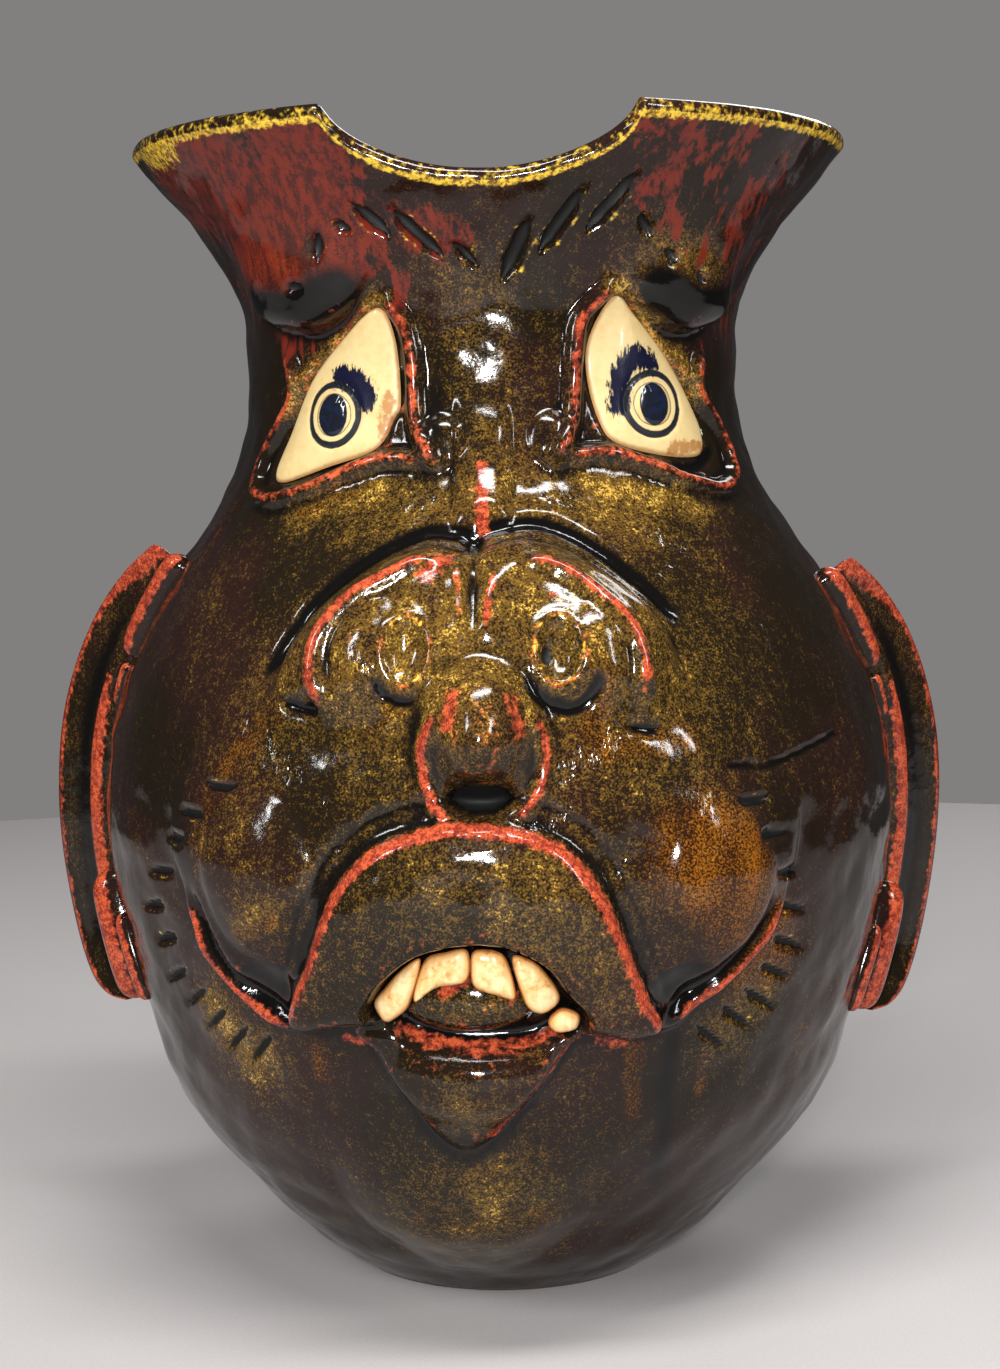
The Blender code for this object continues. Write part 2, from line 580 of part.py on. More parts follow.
def shell(name, columns, rows, surface, finish=None):
    """A closed skin: a grid wrapped round by a function of how far across and along it each point lies."""
    bm = bmesh.new()
    bmesh.ops.create_grid(bm, x_segments=columns, y_segments=rows, size=0.5)
    flat = np.array([vert.co for vert in bm.verts]) + 0.5
    placed = surface(np.clip(flat[:, 0], 0, 1), np.clip(flat[:, 1], 0, 1)) * MM
    for vert, point in zip(bm.verts, placed):
        vert.co = point
    bmesh.ops.remove_doubles(bm, verts=bm.verts, dist=1e-6)
    bmesh.ops.recalc_face_normals(bm, faces=bm.faces)
    mesh = bpy.data.meshes.new(name)
    bm.to_mesh(mesh)
    bm.free()
    mesh.shade_smooth()
    mesh.set_sharp_from_angle(angle=math.radians(50))
    if finish:
        mesh.materials.append(finish)
    made = bpy.data.objects.new(name, mesh)
    bpy.context.scene.collection.objects.link(made)
    return made


def inset(name, outline, proud, thickness, dome, columns, finish=None, grow=0.0):
    """A domed piece of clay on the wall, or, with grow, the cutter for its pocket."""
    line = smooth_line(outline, closed=True)
    centre = line.mean(0)
    radius = wall_radius(centre[1:])[0][0]
    reach = np.linalg.norm((line - centre) * (math.radians(1) * radius, 1), axis=1).mean()
    swell = 1 + grow / reach * 1.25

    def surface(across, along):
        place = across * len(line)
        first = np.floor(place).astype(int) % len(line)
        part = (place - np.floor(place))[:, None]
        rim = line[first] * (1 - part) + line[(first + 1) % len(line)] * part
        front = np.interp(along, (0, 0.72, 1), (0, 1, 1))
        back = np.interp(along, (0, 0.84, 1), (1, 1, 0))
        where = centre + (rim - centre) * (np.minimum(front, back) * swell)[:, None]
        on_front = along <= 0.72
        high = proud + grow - dome * front**3
        low = proud - thickness - grow
        return wall_point(where[:, 0], where[:, 1], np.where(on_front, high, low))

    return shell(name, columns, INSET_ROWS, surface, finish)


def ear_flange(name, side, lower):
    """The ear's plate, from its root on the wall out to the rolled rim and back."""
    stations = np.array(EAR_STATIONS, dtype=float)
    stations[:, (1, 3)] -= lower
    section = np.array(EAR_SECTION, dtype=float).T

    def surface(across, along):
        place = np.interp(along, (EAR_END, 1 - EAR_END), (0, len(stations) - 1))
        numbers = np.arange(len(stations))
        root_turn, root_up, rim_turn, rim_up, off = (np.interp(place, numbers, row) for row in stations.T)
        span, share, lift = (np.interp(across, section[0], row) for row in section[1:])
        shut = np.interp(along, (0, EAR_END, 1 - EAR_END, 1), (0, 1, 1, 0))
        modelled = np.interp(along, (EAR_END, EAR_PLAIN_END, 1 - EAR_PLAIN_END, 1 - EAR_END), (0, 1, 1, 0))
        lift = np.where((across > 0.05) & (across < 0.52), lift * modelled, lift)
        stand = off * (0.5 + (share - 0.5) * shut) + (lift + EAR_PLATE / 2) * shut - EAR_PLATE / 2
        middle_turn, middle_up = (root_turn + rim_turn) / 2, (root_up + rim_up) / 2
        turn = middle_turn + (root_turn + (rim_turn - root_turn) * span - middle_turn) * shut
        up = middle_up + (root_up + (rim_up - root_up) * span - middle_up) * shut
        return wall_point(side * turn, up * HEIGHT / 100, stand)

    return shell(name, EAR_COLUMNS, EAR_ROWS, surface)


def change(obj, kind, name, **settings):
    """Adds a modifier with its settings."""
    made = obj.modifiers.new(name, kind)
    for key, value in settings.items():
        setattr(made, key, value)
    return made


def hidden(obj):
    """Marks a shape that only joins or cuts another."""
    obj.hide_render = True
    obj.display_type = "WIRE"
    return obj


def bench(name):
    """A slab whose top is the plane that the jug stands on."""
    bm = bmesh.new()
    side = FOOT_RADIUS * 3 * MM
    bmesh.ops.create_cube(bm, size=side)
    bmesh.ops.translate(bm, verts=bm.verts, vec=(0, 0, -side / 2))
    mesh = bpy.data.meshes.new(name)
    bm.to_mesh(mesh)
    bm.free()
    made = bpy.data.objects.new(name, mesh)
    bpy.context.scene.collection.objects.link(made)
    return made


def insets():
    """Name, outline and sizes of every piece of clay set in the body."""
    eye = (EYE_DOME, EYE_THICKNESS, EYE_DOME, EYE_COLUMNS)
    yield "left_eye", LEFT_EYE, *eye
    yield "right_eye", RIGHT_EYE, *eye
    for number, outline in enumerate(TEETH, start=1):
        yield f"tooth_{number}", outline, TOOTH_PROUD, TOOTH_THICKNESS, TOOTH_DOME, TOOTH_COLUMNS


def build():
    """Makes the jug's body and every piece set in it."""
    clear_scene()
    glaze = material("dark_glaze", (0.05, 0.035, 0.02), 0.2)
    eye_clay = material("eye_clay", (0.85, 0.68, 0.38), 0.45)
    tooth_clay = material("tooth_clay", (0.86, 0.70, 0.42), 0.4)
    body = shell("jug_body", BODY_COLUMNS, BODY_ROWS, body_surface, glaze)
    drawn = 2 * BODY_COLUMNS * BODY_ROWS
    change(body, "DECIMATE", "thin", ratio=BODY_TRIANGLES / drawn)
    for side, label, lower in EARS:
        ear = hidden(ear_flange(f"{label}_ear_flange", side, lower))
        change(body, "BOOLEAN", f"join {label} ear", operation="UNION", solver="EXACT", object=ear)
    cutter = hidden(bench("bench"))
    change(body, "BOOLEAN", "flat foot", operation="DIFFERENCE", solver="EXACT", object=cutter)
    for name, outline, proud, thickness, dome, columns in insets():
        clay = eye_clay if name.endswith("eye") else tooth_clay
        inset(name, outline, proud, thickness, dome, columns, clay)
        pocket = hidden(inset(f"{name}_pocket", outline, proud, thickness, dome, columns, grow=INSET_GAP))
        change(body, "BOOLEAN", f"pocket for {name}", operation="DIFFERENCE", solver="EXACT", object=pocket)


build()
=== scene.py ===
"""Looks of the face jug: a thrown stoneware vessel in dark glaze, with a face modelled on it.

Sizes are in millimetres unless a name says otherwise. A place on the jug is (azimuth in degrees, height in
hundredths of the jug's height): azimuth 0 is the front, it grows towards +X, and the face looks towards -Y.
"""

import logging
import math
from dataclasses import dataclass
from enum import Enum
from functools import cached_property
from typing import Optional, Union

import bmesh
import bpy
import numpy as np
from mathutils import Matrix


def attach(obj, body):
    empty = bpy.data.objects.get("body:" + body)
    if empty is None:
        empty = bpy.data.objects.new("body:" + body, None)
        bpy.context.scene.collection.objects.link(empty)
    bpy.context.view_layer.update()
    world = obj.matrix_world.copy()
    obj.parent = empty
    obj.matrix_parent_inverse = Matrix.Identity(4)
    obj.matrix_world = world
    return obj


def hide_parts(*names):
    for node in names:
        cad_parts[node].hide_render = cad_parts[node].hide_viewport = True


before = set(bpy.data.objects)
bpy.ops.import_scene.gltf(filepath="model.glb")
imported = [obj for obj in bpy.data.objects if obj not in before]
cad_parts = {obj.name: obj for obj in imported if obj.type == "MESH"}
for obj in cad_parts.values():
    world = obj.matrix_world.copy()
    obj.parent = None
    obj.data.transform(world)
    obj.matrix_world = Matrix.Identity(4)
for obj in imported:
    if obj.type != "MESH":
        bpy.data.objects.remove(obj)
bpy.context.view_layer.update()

MM = 0.001
SAME_POINT = 2e-6
BODY = "root"

Array = np.ndarray
Colour = tuple[float, float, float]
Place = tuple[float, float]
Path = tuple[Place, ...]
Run = tuple[float, float, Path]
Value = Union["Wire", float]

log = logging.getLogger("face_jug")


class Tint(Enum):
    """What the glaze does at a place. The value names the mesh attribute that carries it."""

    RED = "red"
    # Black where the glaze pools; in the grooves under the nostril cups it is painted shade.
    POOL = "pool"
    GOLD = "gold"
    AMBER = "amber"
    RUST = "rust"
    OCHRE = "ochre"
    BARE = "bare"
    # Black in tool slits, and painted shade in the deep holes of the nose.
    SLIT = "slit"
    PUCKER = "pucker"


class Side(Enum):
    """Which side of the face, as seen by someone who looks at it."""

    LEFT = -1
    RIGHT = 1


def smooth_step(low: float, high: float, value: Array) -> Array:
    """Runs smoothly from 0 at low to 1 at high."""
    t = np.clip((value - low) / (high - low), 0, 1)
    return t * t * (3 - 2 * t)


def rounded(depth: Array, radius: Array) -> Array:
    """Share of the full rise of a slab whose edge rounds down over a radius."""
    t = np.clip(depth / radius, 0, 1)
    return (1 - (1 - t) ** 2) ** 0.62


def hill(value: Array, middle: Union[Array, float], width: Union[Array, float]) -> Array:
    """1 at a middle value, and softly less away from it."""
    return np.exp(-(((value - middle) / width) ** 2))


def along_table(table: Path, value: Array) -> Array:
    """Reads a table of (value, result) pairs between its rows."""
    return np.interp(value, [row[0] for row in table], [row[1] for row in table])


def between(rows: Array, place: Array) -> Array:
    """Reads the rows of a grid at places between them."""
    return np.stack([np.interp(place, np.arange(len(rows)), column) for column in rows.T], -1)


def around(out: Array, turn: Array, up: Array) -> Array:
    """Points this far out from the jug's axis, at an angle from the front in radians, and this far up."""
    return np.stack((out * np.sin(turn), -out * np.cos(turn), up), -1)


def blurred(values: Array, cells: float) -> Array:
    """Softens a grid of values that wraps round its columns.

    Args:
        values: Rows by columns.
        cells: Standard deviation, in cells of the grid.

    Returns:
        The softened grid.
    """
    reach = max(1, math.ceil(cells * 2.5))
    weights = np.exp(-0.5 * (np.arange(-reach, reach + 1) / cells) ** 2)
    weights /= weights.sum()
    padded = np.pad(values, ((reach, reach), (0, 0)), mode="edge")
    down = sum(weight * padded[step:step + len(values)] for step, weight in enumerate(weights))
    return sum(weight * np.roll(down, step - reach, axis=1) for step, weight in enumerate(weights))


@dataclass(frozen=True)
class Notch:
    """A round notch cut in the rim: middle and half width in degrees, its depth, and how square it is."""

    middle: float
    half_width: float
    drop: float
    square: float

    def cut(self, azimuth: Array) -> Array:
        """How far the rim is cut down at each azimuth."""
        off = np.abs((azimuth - self.middle + 180) % 360 - 180)
        return self.drop * np.clip(1 - (off / self.half_width) ** 2, 0, 1) ** self.square


@dataclass(frozen=True)
class ThrownForm:
    """The vessel as it came off the wheel: its turned outline, its wall and the notches in its rim."""

    height: float = 380.0
    foot_radius: float = 51.6
    belly_radius: float = 134.2
    waist_radius: float = 82.8
    rim_radius: float = 119.3
    belly_at: float = 42.1
    waist_at: float = 80.5
    body_wall: float = 6.5
    rim_wall: float = 5.2
    floor: float = 9.0
    foot_to_belly: Path = (
        (0, 0), (0.063, 0.173), (0.175, 0.392), (0.27, 0.556), (0.394, 0.731), (0.544, 0.834),
        (0.75, 0.943),
    )
    belly_to_waist: Path = ((0, 0), (0.274, 0.128), (0.548, 0.514), (0.685, 0.782), (0.822, 0.953))
    waist_to_rim: Path = ((0, 0), (0.243, 0.02), (0.446, 0.176), (0.689, 0.486), (0.878, 0.802), (1, 1))
    notches: tuple[Notch, ...] = (Notch(-1.2, 24.0, 19.0, 0.55), Notch(180.0, 28.0, 20.0, 0.6))

    @property
    def waist(self) -> float:
        """Height of the narrowest part of the neck."""
        return self.height * self.waist_at / 100

    @property
    def lip_start(self) -> float:
        """Height at which the wall ends and the round lip starts."""
        return self.height - self.rim_wall * 0.83

    @cached_property
    def knots(self) -> tuple[Array, Array, Array]:
        """Heights, radii and slopes that the turned outline passes through."""
        belly = self.height * self.belly_at / 100
        lip_radius = self.rim_radius - self.rim_wall * 0.12
        spans = (
            (self.foot_to_belly, 0.0, belly, self.foot_radius, self.belly_radius),
            (self.belly_to_waist, belly, self.waist, self.belly_radius, self.waist_radius),
            (self.waist_to_rim, self.waist, self.lip_start, self.waist_radius, lip_radius),
        )
        rows = [
            (low + up * (high - low), start + across * (end - start))
            for shape, low, high, start, end in spans
            for up, across in shape
        ]
        heights, radii = np.array(rows).T
        return heights, radii, np.gradient(radii, heights)

    def wall(self, height: Array) -> tuple[Array, Array]:
        """Radius of the wall's outside, and its slope, at each height."""
        heights, radii, slopes = self.knots
        place = np.clip(np.searchsorted(heights, height, "right") - 1, 0, len(heights) - 2)
        span = heights[place + 1] - heights[place]
        t = np.clip((height - heights[place]) / span, 0, 1)
        start, end = radii[place], radii[place + 1]
        leave, arrive = slopes[place] * span, slopes[place + 1] * span
        radius = (
            start * (2 * t**3 - 3 * t**2 + 1) + leave * (t**3 - 2 * t**2 + t)
            + end * (3 * t**2 - 2 * t**3) + arrive * (t**3 - t**2)
        )
        slope = (
            start * (6 * t**2 - 6 * t) + leave * (3 * t**2 - 4 * t + 1)
            + end * (6 * t - 6 * t**2) + arrive * (3 * t**2 - 2 * t)
        ) / span
        return radius, slope

    def point(self, azimuth: Array, height: Array, proud: Union[Array, float] = 0.0) -> Array:
        """Point on the wall, or proud of it along the wall's own normal."""
        radius, slope = self.wall(height)
        steep = np.sqrt(1 + slope**2)
        out = radius + proud / steep
        return around(out, np.radians(azimuth), height - proud * slope / steep)

    def places(self, path: Path) -> Array:
        """Azimuths and heights in millimetres of places on the jug."""
        found = np.array(path, dtype=float)
        found[:, 1] *= self.height / 100
        return found

    def traced(self, path: Path, closed: bool = False, steps: int = 6) -> Array:
        """More places along a smooth line through a few.

        Args:
            path: The places that the line passes through.
            closed: Whether the line runs round to its start.
            steps: How many places to put between each two.

        Returns:
            Azimuths and heights in millimetres, one row a place.
        """
        knots = self.places(path)
        if len(knots) == 2 and not closed:
            return knots
        if closed:
            knots = np.concatenate((knots[-1:], knots, knots[:2]))
        else:
            knots = np.concatenate((2 * knots[:1] - knots[1:2], knots, 2 * knots[-1:] - knots[-2:-1]))
        before, start, end, after = knots[:-3], knots[1:-2], knots[2:-1], knots[3:]
        line = np.stack([
            0.5 * (
                2 * start + (end - before) * t + (2 * before - 5 * start + 4 * end - after) * t**2
                + (3 * start - before - 3 * end + after) * t**3
            )
            for t in np.arange(steps) / steps
        ], 1).reshape(-1, 2)
        return line if closed else np.concatenate((line, knots[-2:-1]))

    def rim(self, azimuth: Array) -> Array:
        """Height at which the wall ends and the lip starts, all round."""
        top = np.full(azimuth.shape, self.lip_start)
        for notch in self.notches:
            top -= notch.cut(azimuth)
        return top


class Skin:
    """Places over the outside of the wall, at which the modelling is worked out."""

    def __init__(self, form: ThrownForm, azimuth: Array, height: Array) -> None:
        """Keeps the places and their points on the wall."""
        self.form = form
        self.azimuth = azimuth
        self.height = height
        self.share = height * 100 / form.height
        self.points = form.point(azimuth, height)

    def distance(self, line: Array, reach: float) -> tuple[Array, Array]:
        """Distance over the wall to a line of places.

        Args:
            line: Azimuths and heights of places along the line.
            reach: The distance past which nothing is worked out.

        Returns:
            The distance at every place, up to the reach, and how far along the line its nearest place is.
        """
        ends = self.form.point(line[:, 0], line[:, 1])
        near = np.all((self.points > ends.min(0) - reach) & (self.points < ends.max(0) + reach), axis=-1)
        points = self.points[near]
        best = np.full(len(points), float(reach))
        travelled = np.zeros(len(points))
        passed = 0.0
        for start, end in zip(ends[:-1], ends[1:]):
            way = end - start
            length = float(np.linalg.norm(way))
            t = np.clip((points - start) @ way / max(length**2, 1e-9), 0, 1)
            far = np.linalg.norm(points - start - t[:, None] * way, axis=1)
            closer = far < best
            best = np.where(closer, far, best)
            travelled = np.where(closer, passed + t * length, travelled)
            passed += length
        found = np.full(self.azimuth.shape, float(reach))
        along = np.zeros(self.azimuth.shape)
        found[near] = best
        along[near] = travelled
        return found, np.minimum(along, np.where(found < reach, passed - along, 0))

    def depth(self, outline: Path, reach: float) -> Array:
        """Distance in from a closed outline, and below zero outside it."""
        ring = self.form.traced(outline, closed=True)
        ring = np.concatenate((ring, ring[:1]))
        within = np.zeros(self.azimuth.shape, dtype=bool)
        for (a0, h0), (a1, h1) in zip(ring[:-1], ring[1:]):
            if h0 == h1:
                continue
            crosses = (h0 > self.height) != (h1 > self.height)
            within ^= crosses & (self.azimuth < a0 + (self.height - h0) * (a1 - a0) / (h1 - h0))
        far = self.distance(ring, reach)[0]
        return np.where(within, far, -far)

    def offset(self, place: Place) -> tuple[Array, Array]:
        """How far each place lies to the right of and above another, in millimetres."""
        azimuth, height = self.form.places((place,))[0]
        radius = self.form.wall(np.array([height]))[0][0]
        return np.radians(self.azimuth - azimuth) * radius, self.height - height

    def bowl(self, place: Place, half_width: float, half_height: float) -> Array:
        """1 in the middle of a round place and 0 at its edge and beyond."""
        across, up = self.offset(place)
        return np.clip(1 - (across / half_width) ** 2 - (up / half_height) ** 2, 0, 1)


@dataclass
class Clay:
    """What the modelling does at each place of a skin: its rise, its sag and its tints."""

    rise: Array
    drop: Array
    shield: Array
    tints: dict[Tint, Array]

    @classmethod
    def bare(cls, shape: tuple[int, ...]) -> "Clay":
        """Clay with nothing done to it yet."""
        tints = {tint: np.zeros(shape) for tint in Tint}
        return cls(np.zeros(shape), np.zeros(shape), np.zeros(shape), tints)

    def tint(self, kind: Tint, strength: Array) -> None:
        """Tints a place at least this strongly."""
        self.tints[kind] = np.maximum(self.tints[kind], strength)


@dataclass(frozen=True)
class Slab:
    """A mass of clay with a rounded edge, laid on the wall."""

    outline: Path
    rise: float
    edge: Path
    grow: float = 0.0
    fade: Path = ((0, 1),)
    soft: Path = ((0, 0),)
    sag: float = 0.0
    covers: bool = False
    reach: float = 45.0

    def lay(self, skin: Skin, clay: Clay) -> None:
        """Adds the slab, or where it covers, lets it hide what is lower."""
        depth = skin.depth(self.outline, self.reach) + self.grow
        radius = along_table(self.edge, skin.share)
        soft = along_table(self.soft, skin.share)
        shape = rounded(depth, radius) * (1 - soft) + smooth_step(-0.35, 1, depth / radius) * soft
        shape *= along_table(self.fade, skin.share)
        if self.covers:
            clay.rise = np.maximum(clay.rise, self.rise * shape)
        else:
            clay.rise += self.rise * shape
        clay.drop += self.sag * shape


@dataclass(frozen=True)
class Coil:
    """A rolled coil of clay laid on the surface, red on its back and black along its foot."""

    path: Path
    radius: float
    rise: float
    red: float = 0.0
    foot: float = 0.0
    taper: float = 8.0
    band: float = 0.62

    def lay(self, skin: Skin, clay: Clay) -> None:
        """Adds the coil."""
        far, along = skin.distance(skin.form.traced(self.path), self.radius * 2.4)
        ends = smooth_step(-0.1, 1, along / self.taper)
        clay.rise += self.rise * ends * np.clip(1 - (far / self.radius) ** 2, 0, 1) ** 0.7
        close = far < self.radius * 2.3
        clay.tint(Tint.RED, self.red * ends * close * hill(far, 0, self.band * self.radius))
        beside = hill(far, 1.15 * self.radius, 0.4 * self.radius)
        clay.tint(Tint.POOL, self.foot * ends * close * beside)


@dataclass(frozen=True)
class Groove:
    """A groove pressed in the clay, where the glaze gathers."""

    path: Path
    half_width: float
    deep: float
    pool: float = 1.0
    taper: float = 8.0

    def lay(self, skin: Skin, clay: Clay) -> None:
        """Presses the groove."""
        far, along = skin.distance(skin.form.traced(self.path), self.half_width * 2.6)
        shape = smooth_step(-0.05, 1, along / self.taper) * (far < self.half_width * 2.5)
        shape = shape * np.exp(-1.5 * (far / self.half_width) ** 2)
        clay.rise -= self.deep * shape
        clay.tint(Tint.POOL, self.pool * shape)


@dataclass(frozen=True)
class Stroke:
    """A short cut of a tool: a black slit with a thin burr where the glaze turns ochre."""

    path: Path
    half_width: float
    deep: float
    burr: float = 0.3

    def lay(self, skin: Skin, clay: Clay) -> None:
        """Cuts the stroke."""
        far, along = skin.distance(skin.form.traced(self.path), self.half_width * 3)
        close = far < self.half_width * 2.9
        width = self.half_width * (0.4 + 0.6 * smooth_step(-0.5, 4.5, along))
        slit = close * np.exp(-((far / width) ** 4) * 1.1)
        edge = close * hill(far, 1.45 * width, 0.4 * width)
        clay.rise += self.burr * edge - self.deep * slit
        clay.tint(Tint.SLIT, slit)
        clay.tint(Tint.GOLD, 0.44 * edge)


@dataclass(frozen=True)
class Bump:
    """A rounded swelling, or below zero a hollow, at one place."""

    place: Place
    half_width: float
    half_height: float
    rise: float
    power: float = 0.75
    sag: float = 0.0
    tint: Optional[Tint] = None
    strength: float = 1.0
    clean: bool = False

    def lay(self, skin: Skin, clay: Clay) -> None:
        """Adds the swelling and its tint."""
        shape = skin.bowl(self.place, self.half_width, self.half_height)
        clay.rise += self.rise * shape**self.power
        if self.sag:
            clay.drop += self.sag * shape
        if self.tint:
            clay.tint(self.tint, self.strength * smooth_step(0, 0.5, shape))
        if self.clean:
            clear = smooth_step(0.05, 0.4, shape)
            clay.shield = np.maximum(clay.shield, clear)
            clay.tints[Tint.POOL] *= 1 - clear


@dataclass(frozen=True)
class Cup:
    """A round, hollow button of clay with a thin rim."""

    place: Place
    half_width: float
    half_height: float
    rim: float
    deep: float
    rim_width: float = 1.3

    def lay(self, skin: Skin, clay: Clay) -> None:
        """Adds the rim and hollows what is inside it."""
        across, up = skin.offset(self.place)
        out = np.sqrt((across / self.half_width) ** 2 + (up / self.half_height) ** 2)
        off = (out - 1) * (self.half_width + self.half_height) / 2
        clay.rise += self.rim * hill(off, 0, self.rim_width) - self.deep * np.clip(1 - out**2, 0, 1)
        clay.tint(Tint.RED, 0.56 * hill(off, 0, 1.0))
        clay.tint(Tint.GOLD, 0.56 * hill(off, -0.2, 0.7))
        clay.tint(Tint.POOL, 0.5 * hill(off, 2.2, 0.9))
        clay.shield = np.maximum(clay.shield, smooth_step(0.3, -0.8, off))


@dataclass(frozen=True)
class Pocket:
    """A hollow cut to one level, for a piece that is set in it."""

    outline: Path
    level: float
    soft: tuple[float, float] = (-0.9, 0.7)
    pool: float = 0.0

    def lay(self, skin: Skin, clay: Clay) -> None:
        """Cuts the pocket."""
        share = smooth_step(*self.soft, skin.depth(self.outline, 12))
        clay.rise += (self.level - clay.rise) * share
        clay.tint(Tint.POOL, self.pool * share)


@dataclass(frozen=True)
class Wash:
    """A place where the glaze takes one of its colours."""

    tint: Tint
    path: Path
    half_width: float
    strength: float = 1.0

    def lay(self, skin: Skin, clay: Clay) -> None:
        """Tints round a place, or along a line of places."""
        path = self.path if len(self.path) > 1 else self.path * 2
        far = skin.distance(skin.form.traced(path), self.half_width * 2)[0]
        soft = hill(far, 0, self.half_width) * (far < self.half_width * 1.99)
        clay.tint(self.tint, self.strength * soft)


Feature = Union[Slab, Coil, Groove, Stroke, Bump, Cup, Pocket, Wash]


@dataclass(frozen=True)
class Whiskers:
    """Strokes along the jaw: (azimuth, height, degrees that its front end is tipped up) of each."""

    side: Side
    rows: tuple[tuple[float, float, float], ...]
    length: float = 14.5
    half_width: float = 1.4
    deep: float = 2.8

    def strokes(self, form: ThrownForm) -> list[Stroke]:
        """The strokes, each with its two ends."""
        made = []
        for azimuth, share, lean in self.rows:
            radius = form.wall(np.array([share * form.height / 100]))[0][0]
            turn = math.degrees(self.length / 2 * math.cos(math.radians(lean)) / radius)
            rise = self.length / 2 * math.sin(math.radians(lean)) * 100 / form.height
            ends = tuple((azimuth - end * self.side.value * turn, share + end * rise) for end in (1, -1))
            made.append(Stroke(ends, self.half_width, self.deep))
        return made


LEFT_EYE: Path = (
    (-25.4, 84.7), (-21.2, 82.2), (-20, 77.1), (-21.3, 75.7), (-25.3, 73.2), (-36.5, 71.8), (-48.1, 70.6),
    (-52.2, 71.4), (-50.3, 74.3), (-44.6, 78.5), (-35.5, 81.9),
)
RIGHT_EYE: Path = (
    (27.5, 85.4), (21.8, 82.3), (20.6, 79.5), (22.9, 75.5), (26.7, 73.4), (38.3, 72.3), (49, 72.3),
    (52, 73.8), (50.3, 76), (42.8, 80), (32.8, 83.9),
)
UPPER_LIP: Path = (
    (-27.5, 29), (-23.8, 33), (-21.2, 36.7), (-18.4, 39.9), (-14.3, 42.3), (-9.1, 43.6), (-4.2, 44.1),
    (0.8, 43.8), (6, 42.7), (9.8, 40.6), (12.4, 37.7), (14.8, 34.3), (17.2, 30.8), (20, 28.5), (16.5, 27.3),
    (11.5, 27.9), (6, 28.6), (-4, 28), (-14, 29), (-20, 28.8), (-25.2, 27.8),
)
LIP_RIDGE: Path = ((-28.4, 28.2),) + UPPER_LIP[1:13] + ((20.6, 28.2),)
LOWER_LIP: Path = (
    (-20, 28), (-17.4, 28.9), (-13.5, 28.8), (-10.4, 27.5), (-3.9, 27.2), (3.2, 27.3), (7.3, 28.4),
    (11.3, 28.7), (8.6, 26.8), (5, 24.2), (1.6, 21.4), (-2.1, 18.9), (-5.9, 17.4), (-10.4, 19.8),
    (-13.5, 22.8), (-16.5, 25.8),
)
BROWS: tuple[Path, ...] = (
    ((-60, 84.8), (-54, 83.7), (-47.6, 83.2), (-40.2, 82.9), (-33, 84.1), (-27.5, 86.3), (-25, 89), (-26, 94),
     (-34, 97), (-48, 97), (-60, 96), (-64, 90), (-63, 86.4)),
    ((28, 88), (29.4, 85.8), (34.9, 83.7), (43.4, 82.5), (52, 82.9), (58, 84), (62, 86.4), (64, 90), (60, 96),
     (46, 97), (34, 97), (29, 93)),
)
TEETH: tuple[Path, ...] = (
    ((-9.9, 34.2), (-11.4, 31), (-13.3, 29.8), (-14.8, 29.5), (-15.8, 30.8), (-14.4, 32), (-12.1, 33.5)),
    ((-10.7, 31.2), (-9.2, 34.2), (-6.7, 34.9), (-4.2, 35), (-4.4, 32.8), (-8, 32.2)),
    ((-3.6, 33.9), (-3.1, 35), (-0.8, 35), (0.6, 34.2), (1.5, 31.5), (-0.5, 31.6), (-3.2, 32.3)),
    ((1.4, 34.4), (3.2, 34.3), (5.1, 33.3), (6.9, 31.3), (5.2, 30.2), (3.4, 30.5), (2.3, 31.9)),
    ((5.9, 29.6), (7.4, 30.3), (9.4, 29.8), (9.2, 28.8), (7.1, 28.5), (6, 28.9)),
)
JOWLS: dict[Side, Path] = {
    Side.LEFT: ((-47, 38), (-43.2, 32.9), (-40.5, 30.8), (-36.5, 28.6), (-31.8, 27.2), (-28.5, 26.9)),
    Side.RIGHT: ((42, 37.2), (39, 35), (35.6, 32.4), (31, 30.2), (27.3, 28.5), (23.5, 27)),
}


